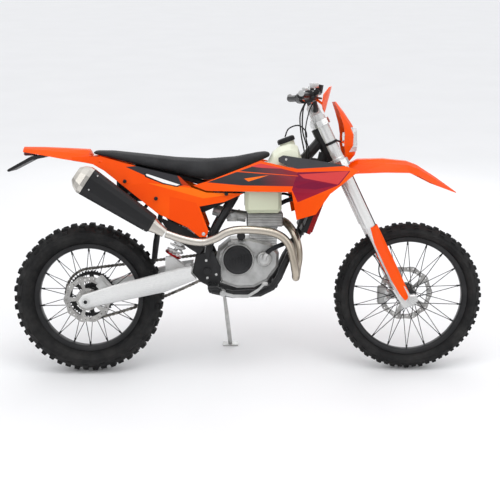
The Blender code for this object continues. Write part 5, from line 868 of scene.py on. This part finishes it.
def inside(outline, along, high, edge=0.0009):  # 1 inside a convex outline, 0 outside
    middle = [sum(point[axis] for point in outline) / len(outline) for axis in (0, 1)]
    found = None
    for (x, z), (nextX, nextZ) in zip(outline, outline[1:] + outline[:1]):
        length = math.hypot(nextX - x, nextZ - z)
        across, up = (z - nextZ) / length, (nextX - x) / length
        if across * (middle[0] - x) + up * (middle[1] - z) < 0:
            across, up = -across, -up
        reach = along * across + high * up - (across * x + up * z)
        found = reach if found is None else found.least(reach)
    return found.ramp(0.0, edge)


def marked(colour, marks, along, high):
    for shade, outline in marks:
        colour = inside(outline, along, high).mix(colour, tint[shade])
    return colour


def panelPaint():
    finish = Finish("panelPaint", **plasticSheen)
    along, high = finish.bikePlace()
    colour = marked(orangeDrift(finish), panelMarks, along, high)
    rough = finish.noise(240.0, 2.0).ramp(0.3, 0.8, 0.30, 0.42)
    return finish.dress(colour, rough, height=finish.noise(1800.0, 1.0), depth=0.00006)


def shroudPaint():
    finish = Finish("shroudPaint", **plasticSheen)
    along, high = finish.bikePlace()
    fading = (along + high * 0.4).ramp(0.40, 0.66).mix(tint["graphite"], tint["crimson"])
    front = (high - along * 0.2).ramp(0.76, 0.86).mix(tint["crimson"], tint["plum"])
    colour = inside(shroudBands["rear"], along, high).mix(orangeDrift(finish), fading)
    colour = inside(shroudBands["front"], along, high).mix(colour, front)
    colour = marked(colour, shroudMarks, along, high)
    insert = inside(shroudBands["insert"], along, high)
    ribs = ((along * 0.25 + high) * 1400.0).sine() * insert
    rough = finish.noise(240.0, 2.0).ramp(0.3, 0.8, 0.30, 0.42).most(insert * 0.55)
    grain = finish.noise(1800.0, 1.0)
    return finish.dress(insert.mix(colour, tint["insert"]), rough, height=ribs * 2.0 + grain, depth=0.00012)


# paints that change along a piece: edges are distances across a slanted line in the side view

forkLine = {"foot": (0.7425, 0.3485), "lean": (-0.4289, 0.9034)}
edges = {
    "stripeAhead": -0.0085, "stripeLow": 0.66, "stripeHigh": 0.915, "strapAhead": 0.014, "strapLow": 1.03,
    "silencerCone": (-0.7341, -0.7331), "radiatorFront": (0.0055, 0.0065), "swingarmPaintedShade": (0.475, 0.525),
}


def ahead(along, high):  # distance in front of the line of the fork
    (x, z), (leanX, leanZ) = forkLine["foot"], forkLine["lean"]
    return (along - x) * leanZ - (high - z) * leanX


def cylinderPaint():
    finish = Finish("cylinderPaint", Metallic=0.85)
    along, high = finish.bikePlace()
    blotch = finish.noise(18.0, 4.0).ramp(0.35, 0.7)
    ribs = (high * 820.0).sine()
    # painted shade: the gaps between the ribs are darkened
    colour = ribs.ramp(-1.0, -0.3).mix(tint["grooveShade"], blotch.mix(tint["alloy"], tint["alloyDull"]))
    return finish.dress(colour, blotch.ramp(0, 1, 0.36, 0.48), height=ribs, depth=0.0012)


def swingarmPaint():
    finish = Finish("swingarmPaint", Metallic=0.4, Coat_Weight=0.3, Coat_Roughness=0.15)
    along, high = finish.bikePlace()
    # painted shade: the swingarm turns darker towards its lower side and stays light on top
    shade = (high * 0.97 - along * 0.24 + finish.noise(3.0) * 0.02).ramp(*edges["swingarmPaintedShade"])
    flake = finish.noise(900.0, 2.0)
    colour = shade.mix(tint["silverPaintedShade"], tint["bright"])
    return finish.dress(colour, flake.ramp(0.3, 0.7, 0.24, 0.34), height=flake, depth=0.00004)


def forkPaint():
    finish = Finish("forkPaint", Metallic=0.45, Coat_Weight=0.3, Coat_Roughness=0.12)
    along, high = finish.bikePlace()
    drift = finish.noise(2.0, 1.0).ramp(0.35, 0.7)
    stripe = ahead(along, high) > edges["stripeAhead"]
    stripe = stripe * (high < edges["stripeHigh"]) * (high > edges["stripeLow"])
    colour = stripe.mix(drift.mix(tint["bright"], tint["brightDull"]), tint["black"])
    lines = finish.noise(900.0, 1.0)
    return finish.dress(colour, lines.ramp(0.3, 0.7, 0.2, 0.28), height=lines, depth=0.00001)


def maskPaint():
    finish = Finish("maskPaint", **plasticSheen)
    along, high = finish.bikePlace()
    drift = finish.noise(3.0).ramp(0.35, 0.7)
    strap = (ahead(along, high) < edges["strapAhead"]) * (high > edges["strapLow"])
    colour = strap.mix(drift.mix(tint["orange"], tint["orangeDeep"]), tint["black"])
    return finish.dress(colour, drift.ramp(0, 1, 0.28, 0.36), height=finish.noise(1800.0, 1.0), depth=0.00006)


def silencerPaint():
    finish = Finish("silencerPaint", Specular_IOR_Level=0.3)
    along, high = finish.bikePlace()
    cone = (along * 0.857 - high * 0.515).ramp(*edges["silencerCone"])
    grain = finish.noise(900.0, 2.0)
    colour = cone.mix(tint["black"], tint["pipe"])
    return finish.dress(colour, grain.ramp(0.3, 0.7, 0.34, 0.42), metallic=cone, height=grain, depth=0.00005)


def radiatorPaint():
    finish = Finish("radiatorPaint", Specular_IOR_Level=0.2)
    along, high = finish.bikePlace()
    front = (along * 0.9354 - high * 0.3535).ramp(*edges["radiatorFront"])
    slats = (high * 900.0).sine()
    colour = front.mix(tint["black"], (slats > 0.0).mix(tint["redDeep"], tint["red"]))
    return finish.dress(colour, slats.ramp(-1, 1, 0.4, 0.55), height=slats, depth=0.0006)


# chain: cranked links along the loop over both sprockets

chainRoute = {"front": (-0.113, 0.512), "frontTeeth": 14, "side": 0.077, "sag": 0.022, "links": 102}
chainLink = {
    "end": 0.0068, "waist": 0.0046, "cheek": 0.0050, "half": 0.0008, "crank": 0.10,
    "roller": [(0.0, -0.0042), (0.0048, -0.0042), (0.0048, 0.0042), (0.0, 0.0042)],
    "pin": [(0.0, -0.0073), (0.0024, -0.0073), (0.0024, 0.0073), (0.0, 0.0073)],
}


def arc(centre, radius, start, stop, steps):
    turns = [start + (stop - start) * step / steps for step in range(steps + 1)]
    return [centre + Vector((math.cos(a), math.sin(a))) * radius for a in turns]


def run(first, last, sag=0.0, steps=24):
    shares = [step / steps for step in range(1, steps)]
    return [first.lerp(last, t) - Vector((0, sag * 4 * t * (1 - t))) for t in shares]


def chainLoop():
    rear, front = hubs["rear"].xz, Vector(chainRoute["front"])
    big, small = pitchRadius(sprocket["teeth"]), pitchRadius(chainRoute["frontTeeth"])
    span = front - rear
    slope = math.atan2(span.y, span.x)
    lean = math.asin((big - small) / span.length)
    quarter = math.pi / 2
    back = arc(rear, big, slope + quarter - lean, slope + 3 * quarter + lean, 60)
    nose = arc(front, small, slope - quarter + lean, slope + quarter - lean, 24)
    loop = back + run(back[-1], nose[0], chainRoute["sag"]) + nose + run(nose[-1], back[0])
    return [Vector((point.x, chainRoute["side"], point.y)) for point in loop]


def link():
    half, end = sprocket["pitch"] / 2, chainLink["end"]
    outline = [(half + end * math.cos(a), end * math.sin(a)) for a in map(math.radians, range(-105, 106, 30))]
    outline += [(0.0, chainLink["waist"])]
    outline += [(-x, z) for x, z in outline[-2::-1]]
    outline += [(0.0, -chainLink["waist"])]
    shapes = []
    for side in (-1, 1):
        middle = side * chainLink["cheek"]
        cheek = plate([outline], middle - chainLink["half"], middle + chainLink["half"])
        for vert in cheek.verts:
            vert.co.y += side * (vert.co.x + half) * chainLink["crank"]
        shapes.append(cheek)
    shapes.append(lathe(chainLink["roller"], (half, 0, 0), segments=10))
    shapes.append(lathe(chainLink["pin"], (-half, 0, 0), segments=8))
    return joined(shapes)


def addChain():
    loop = bmesh.new()
    verts = [loop.verts.new(point) for point in chainLoop()]
    for first, second in zip(verts, verts[1:] + verts[:1]):
        loop.edges.new((first, second))
    carrier = onMesh("carrier", loop, chainFinish, moved=Matrix.Identity(4))
    links = grown(onPath, carrier, link(), chainFinish, Count=chainRoute["links"])
    addPiece("chainLinks", links, chainFinish, "chassis", ["chain"])
    print("chain linked")


# seat: a padded cushion swollen from the solid seat

cushionSizes = {
    "voxel": 0.006, "smoothing": 0.6, "rounds": 10, "shrink": 0.0015,
    "pressure": 2.0, "stiffness": 60.0, "frames": 12, "cap": 0.003,
}


def flattened(piece):  # the mesh as its modifiers leave it
    depsgraph = bpy.context.evaluated_depsgraph_get()
    mesh = bpy.data.meshes.new_from_object(piece.evaluated_get(depsgraph), depsgraph=depsgraph)
    piece.modifiers.clear()
    return mesh


def swell(cushion):
    cloth = cushion.modifiers.new("swell", "CLOTH")
    cloth.settings.use_pressure = True
    cloth.settings.uniform_pressure_force = cushionSizes["pressure"]
    cloth.settings.effector_weights.gravity = 0.0
    cloth.settings.tension_stiffness = cloth.settings.compression_stiffness = cushionSizes["stiffness"]
    cloth.collision_settings.use_collision = False
    cloth.point_cache.frame_start, cloth.point_cache.frame_end = 1, cushionSizes["frames"]
    for number in range(1, cushionSizes["frames"] + 1):
        bpy.context.scene.frame_set(number)
    swollen = flattened(cushion)
    for old, new in zip(cushion.data.vertices, swollen.vertices):
        step = new.co - old.co
        if step.length > cushionSizes["cap"]:
            new.co = old.co + step.normalized() * cushionSizes["cap"]
    cushion.data = swollen
    bpy.context.scene.frame_set(1)


def addSeat():
    shape = bmesh.new()
    shape.from_mesh(nodes["seat"].data)
    bmesh.ops.remove_doubles(shape, verts=shape.verts, dist=0.0001)
    cushion = onMesh("seatCushion", shape, finishes["seat_cover"], moved=Matrix.Identity(4))
    remesh = cushion.modifiers.new("even", "REMESH")
    remesh.mode = "VOXEL"
    remesh.voxel_size = cushionSizes["voxel"]
    smoothing = cushion.modifiers.new("soften", "SMOOTH")
    smoothing.factor, smoothing.iterations = cushionSizes["smoothing"], cushionSizes["rounds"]
    cushion.data = flattened(cushion)
    for vert in cushion.data.vertices:
        vert.co -= vert.normal * cushionSizes["shrink"]
    swell(cushion)
    cushion.data.materials.clear()
    cushion.data.materials.append(finishes["seat_cover"])
    cushion.data.shade_smooth()
    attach(cushion, "chassis")
    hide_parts("seat")
    print("seat padded")


# exhaust header, smooth along the solid one's route

header = {
    "radius": 0.0183, "weldWidth": 0.002, "weldRise": 0.0007, "weldRoot": 0.001,
    "route": [
        (0.1565, -0.013, 0.704), (0.178, -0.030, 0.690), (0.2047, -0.0745, 0.6549),
        (0.2219, -0.098, 0.600), (0.226, -0.1018, 0.5449), (0.2177, -0.1049, 0.490),
        (0.2118, -0.1271, 0.4565), (0.2083, -0.150, 0.489), (0.190, -0.152, 0.580),
        (0.1622, -0.152, 0.6319), (0.1161, -0.1505, 0.661), (0.041, -0.1505, 0.675),
        (-0.0453, -0.1505, 0.678), (-0.102, -0.1505, 0.6659), (-0.1499, -0.1505, 0.640),
        (-0.2102, -0.1467, 0.6221), (-0.29, -0.1497, 0.6351), (-0.374, -0.157, 0.664),
    ],
    "welds": (0.205, 0.47, 0.71, 0.90),  # shares of the length
}


def addHeader():
    line = curveThrough(header["route"], 6)
    radius, width = header["radius"], header["weldWidth"]
    root = radius - header["weldRoot"]
    shapes = [tube(line, radius, 24)]
    for share in header["welds"]:
        spot = round(share * (len(line) - 3))
        along = (line[spot + 1] - line[spot]).normalized()
        weld = [(root, -width), (radius + header["weldRise"], 0.0), (root, width)]
        shapes.append(lathe(weld, line[spot], along, 24, closed=True))
    shape = joined(shapes)
    addPiece("headerPipe", shape, finishes["exhaust_steel"], "chassis", ["exhaust_header"])
    print("header bent")


# screws on the right side: place and radius

out = Vector((0, -1, 0))
screws = {
    "panelScrews": ("black_metal", [
        ((-0.5540, -0.1405, 0.897), 0.0060), ((-0.416, -0.1445, 0.8197), 0.0060),
        ((-0.1017, -0.1445, 0.8392), 0.0060),
    ]),
    "steelScrews": ("bright_aluminium", [
        ((-0.205, -0.147, 0.660), 0.0055), ((0.1650, -0.158, 0.992), 0.0035),
    ]),
    "plateBolts": ("bright_aluminium", [
        ((-0.190, -0.1153, 0.455), 0.0040), ((-0.150, -0.1153, 0.470), 0.0040),
        ((-0.195, -0.1153, 0.535), 0.0040),
    ]),
}

# a head's profile is in shares of its radius: how wide, and how far out
screwHead = {
    "sunk": 0.001, "sides": 12,
    "shares": [(1.45, 0.25), (1.0, 0.3), (1.0, 0.95), (0.82, 1.1), (0.5, 1.1), (0.45, 0.6), (0.0, 0.6)],
}


def boltHead(place, facing, radius):
    shares, sunk = screwHead["shares"], screwHead["sunk"]
    profile = [(0.0, -sunk), (radius * shares[0][0], -sunk)]
    profile += [(radius * wide, radius * tall) for wide, tall in shares]
    return lathe(profile, place, facing, screwHead["sides"])


def addScrews():
    for name, (slot, heads) in screws.items():
        shape = joined([boltHead(place, out, radius) for place, radius in heads])
        addPiece(name, shape, finishes[slot], "chassis")
    print("screws set")


# clutch side of the engine: profiles are (radius, distance outwards) from the face of the crankcase

engine = {
    "clutch": (-0.051, -0.0783, 0.537), "pump": (0.069, -0.0783, 0.537), "filler": (-0.036, -0.0785, 0.642),
    "clutchRing": [(0.0, 0.0), (0.0745, 0.0), (0.0745, 0.026), (0.0725, 0.034), (0.0700, 0.037),
                   (0.0680, 0.0375), (0.0665, 0.036), (0.0, 0.036)],
    "clutchCentre": [(0.0, 0.0355), (0.0660, 0.0355), (0.0660, 0.0410), (0.0620, 0.0450), (0.0520, 0.0460),
                     (0.0500, 0.0440), (0.0, 0.0440)],
    "ear": [(0.0, 0.0), (0.0085, 0.0), (0.0085, 0.010), (0.0, 0.010)], "ears": 7, "earReach": 0.0765,
    "bar": ((-0.084, -0.1262, 0.507), (-0.0775, -0.1220, 0.543)), "barStep": (0.013, 0, 0.004), "bars": 6,
    "fillerCap": [(0.0, 0.0), (0.019, 0.0), (0.019, 0.010), (0.0165, 0.012), (0.0165, 0.020), (0.014, 0.023),
                  (0.0, 0.023)],
    "pumpCap": [(0.018, 0.029), (0.024, 0.0292), (0.024, 0.033), (0.019, 0.0365), (0.0, 0.0375),
                (0.0, 0.029)],
    "snout": [(0.069, -0.106, 0.537), (0.072, -0.112, 0.552), (0.082, -0.117, 0.568)], "snoutRadius": 0.0125,
    "hoses": [
        ([(0.075, -0.112, 0.560), (0.100, -0.125, 0.585), (0.150, -0.118, 0.607), (0.205, -0.075, 0.625),
          (0.235, -0.050, 0.652)], 0.0105),
        ([(0.128, -0.030, 0.775), (0.175, -0.045, 0.80), (0.230, -0.060, 0.815),
          (0.285, -0.075, 0.826)], 0.0105),
        ([(0.10, 0.0, 0.80), (0.16, 0.0, 0.828), (0.235, 0.0, 0.80)], 0.006),
    ],
}


def addEngineCovers():
    centre = Vector(engine["clutch"])
    shapes = [lathe(engine["clutchRing"], centre, out, 72)]
    for step in range(engine["ears"]):
        x, z = polar(centre, engine["earReach"], 2 * math.pi * (step + 0.3) / engine["ears"])
        spot = Vector((x, centre.y, z))
        shapes.append(lathe(engine["ear"], spot, out, 16))
        shapes.append(boltHead(spot + out * engine["ear"][-1][1], out, 0.0038))
    cast, black = ("cast_aluminium", "chassis", "cast_aluminium"), ("black_metal", "chassis", "black_metal")
    covers = {"clutchRing": (shapes, cast, ["clutch_cover"])}
    low, high = (Vector(corner) for corner in engine["bar"])
    shifts = [Vector(engine["barStep"]) * k for k in range(engine["bars"])]
    bars = [box(low + shift, high + shift, 0.0008) for shift in shifts]
    covers["clutchCentre"] = ([lathe(engine["clutchCentre"], centre, out, 72)] + bars, black, [])
    covers["oilFiller"] = ([lathe(engine["fillerCap"], engine["filler"], out, 24)], black, [])
    snout = tube(curveThrough(engine["snout"], 4), engine["snoutRadius"], 16)
    covers["pumpCover"] = ([lathe(engine["pumpCap"], engine["pump"], out, 32), snout], cast, [])
    hoses = [tube(curveThrough(route, 6), radius, 14) for route, radius in engine["hoses"]]
    covers["coolantHoses"] = (hoses, ("black_plastic", "chassis", "black_plastic"), [])
    for name, (parts, (finish, body, slot), standsFor) in covers.items():
        addPiece(name, joined(parts), finishes[finish], body, standsFor)
    print("engine dressed")


# cables that cross the steering, from the bar to the frame, and the tank's vent hose

cables = {
    "throttleCables": ([(0.262, -0.236, 1.262), (0.236, -0.225, 1.215), (0.238, -0.150, 1.12),
                        (0.262, -0.070, 1.045), (0.262, -0.030, 0.965)], 0.0032),
    "brakeSwitchCable": ([(0.290, -0.215, 1.262), (0.262, -0.205, 1.200), (0.252, -0.130, 1.11),
                          (0.274, -0.060, 1.02), (0.270, -0.026, 0.955)], 0.0026),
    "clutchHose": ([(0.285, 0.215, 1.262), (0.252, 0.200, 1.190), (0.250, 0.120, 1.10),
                    (0.262, 0.055, 1.01), (0.258, 0.028, 0.955)], 0.0034),
}
ventRoute = [(0.168, 0.0, 1.088), (0.185, 0.0, 1.125), (0.229, 0.0, 1.140), (0.262, 0.0, 1.115),
             (0.268, 0.0, 1.085)]


def addCables():
    for name, (route, radius) in cables.items():
        line = curveThrough(route)
        made = onMesh(name, tube(line, radius), finishes["tyre"])
        tuple(bike @ line[-1])
        tuple(bike @ line[0])
        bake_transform(made)
    addPiece("ventHose", tube(curveThrough(ventRoute), 0.0032), finishes["tyre"], "chassis")
    print("cables led")


# trim: reservoirs, bar ends, brake hose, pistons, rivets, throttle body, spring adjuster, and a black disc of
# painted shade in the rear axle's bore

trim = {
    "reservoirs": [
        ((0.262, -0.252, 1.302), (0.300, -0.214, 1.324)), ((0.262, 0.214, 1.302), (0.300, 0.252, 1.318)),
    ],
    "barEnd": (0.2135, 0.4075, 1.277), "barEndCap": [(0.0, 0.0), (0.013, 0.0), (0.013, 0.004), (0.0, 0.006)],
    "brakeHose": [(0.655, 0.0735, 0.384), (0.622, 0.080, 0.440), (0.625, 0.092, 0.500),
                  (0.632, 0.118, 0.560)],
    "pistons": [(0.653, 0.0412, 0.322), (0.653, 0.0412, 0.357)],
    "piston": [(0.0, 0.0), (0.012, 0.0), (0.012, 0.002), (0.009, 0.003), (0.0, 0.003)],
    "rivets": [(-0.665, -0.205, 0.925), (-0.705, -0.205, 0.865), (-0.425, -0.178, 0.735),
               (-0.470, -0.180, 0.685)],
    "rivet": [(0.0, 0.0), (0.004, 0.0), (0.003, 0.002), (0.0, 0.0026)],
    "intake": [(-0.16, 0.012, 0.755), (-0.09, 0.0, 0.735), (-0.012, 0.0, 0.722)], "intakeRadius": 0.026,
    "clampEnds": [(-0.052, 0.0, 0.729), (-0.044, 0.0, 0.7275)], "clampRadius": 0.0285,
    "sensor": ((-0.10, -0.052, 0.705), (-0.055, -0.020, 0.745)), "wheelPlace": (-0.078, -0.052, 0.725),
    "wheel": [(0.0, 0.0), (0.017, 0.0), (0.017, 0.006), (0.006, 0.008), (0.0, 0.010)],
    "shockEnds": [(-0.362, -0.014, 0.528), (-0.225, -0.014, 0.772)], "adjusterReach": 0.020,
    "adjuster": [(0.0255, 0.0), (0.0385, 0.0), (0.0405, 0.003), (0.0405, 0.009), (0.0385, 0.012),
                 (0.0255, 0.012)],
    "bore": [(0.0, 0.0), (0.0085, 0.0), (0.0085, 0.0008), (0.0, 0.0008)],
    "borePlace": (-0.7425, -0.1412, 0.351),
}


def addTrim():
    x, y, z = trim["barEnd"]
    ends = [lathe(trim["barEndCap"], (x, side * y, z), (0, side, 0), 16) for side in (-1, 1)]
    body = tube(curveThrough(trim["intake"], 6), trim["intakeRadius"], 28)
    clamp = tube([Vector(end) for end in trim["clampEnds"]], trim["clampRadius"], 28)
    wheel = lathe(trim["wheel"], trim["wheelPlace"], out, 24)
    low, high = (Vector(end) for end in trim["shockEnds"])
    axis = (high - low).normalized()
    adjuster = lathe(trim["adjuster"], low + axis * trim["adjusterReach"], axis, 24, closed=True)
    pieces = {
        "reservoirs": ([box(*ends, 0.003) for ends in trim["reservoirs"]], "steering", "bright_aluminium"),
        "barEnds": (ends, "steering", "cast_aluminium"),
        "caliperPistons": ([lathe(trim["piston"], place, out, 20) for place in trim["pistons"]], "steering",
                           "bright_aluminium"),
        "silencerRivets": ([lathe(trim["rivet"], place, out, 12) for place in trim["rivets"]], "chassis",
                           "bright_aluminium"),
        "throttleBody": ([body, clamp, box(*trim["sensor"], 0.004), wheel], "chassis", "cast_aluminium"),
        # painted shade: a thin black disc on the rear axle's end stands for the shaded hollow of its bore
        "darkBolts": ([lathe(trim["bore"], trim["borePlace"], out, 20)], "chassis", "black_metal"),
    }
    for name, (shapes, carrier, slot) in pieces.items():
        addPiece(name, joined(shapes), finishes[slot], carrier)
    hose = tube(curveThrough(trim["brakeHose"]), 0.003)
    addPiece("frontBrakeHose", hose, finishes["tyre"], "steering")
    addPiece("springAdjuster", adjuster, redMetal, "chassis")
    print("trim added")


addCamera()
addLights()
addFloor()
pairs = {
    "side_panel": panelPaint(), "shroud": shroudPaint(), "fork_leg": forkPaint(), "radiator": radiatorPaint(),
    "handguard": finishes["orange_plastic"],
}
for kind, paint in pairs.items():
    ownFinish[f"{kind}_left"] = ownFinish[f"{kind}_right"] = paint
ownFinish |= {
    "headlight_mask": maskPaint(), "silencer": silencerPaint(), "cylinder": cylinderPaint(),
    "swingarm": swingarmPaint(),
}
dressNodes()
for end, steel in (("front", frontDiscSteel), ("rear", finishes["disc_steel"])):
    addTyre(end)
    addWheel(end)
    addDisc(end, steel)
addSprocket()
addChain()
addSeat()
addHeader()
addScrews()
addEngineCovers()
addCables()
addTrim()
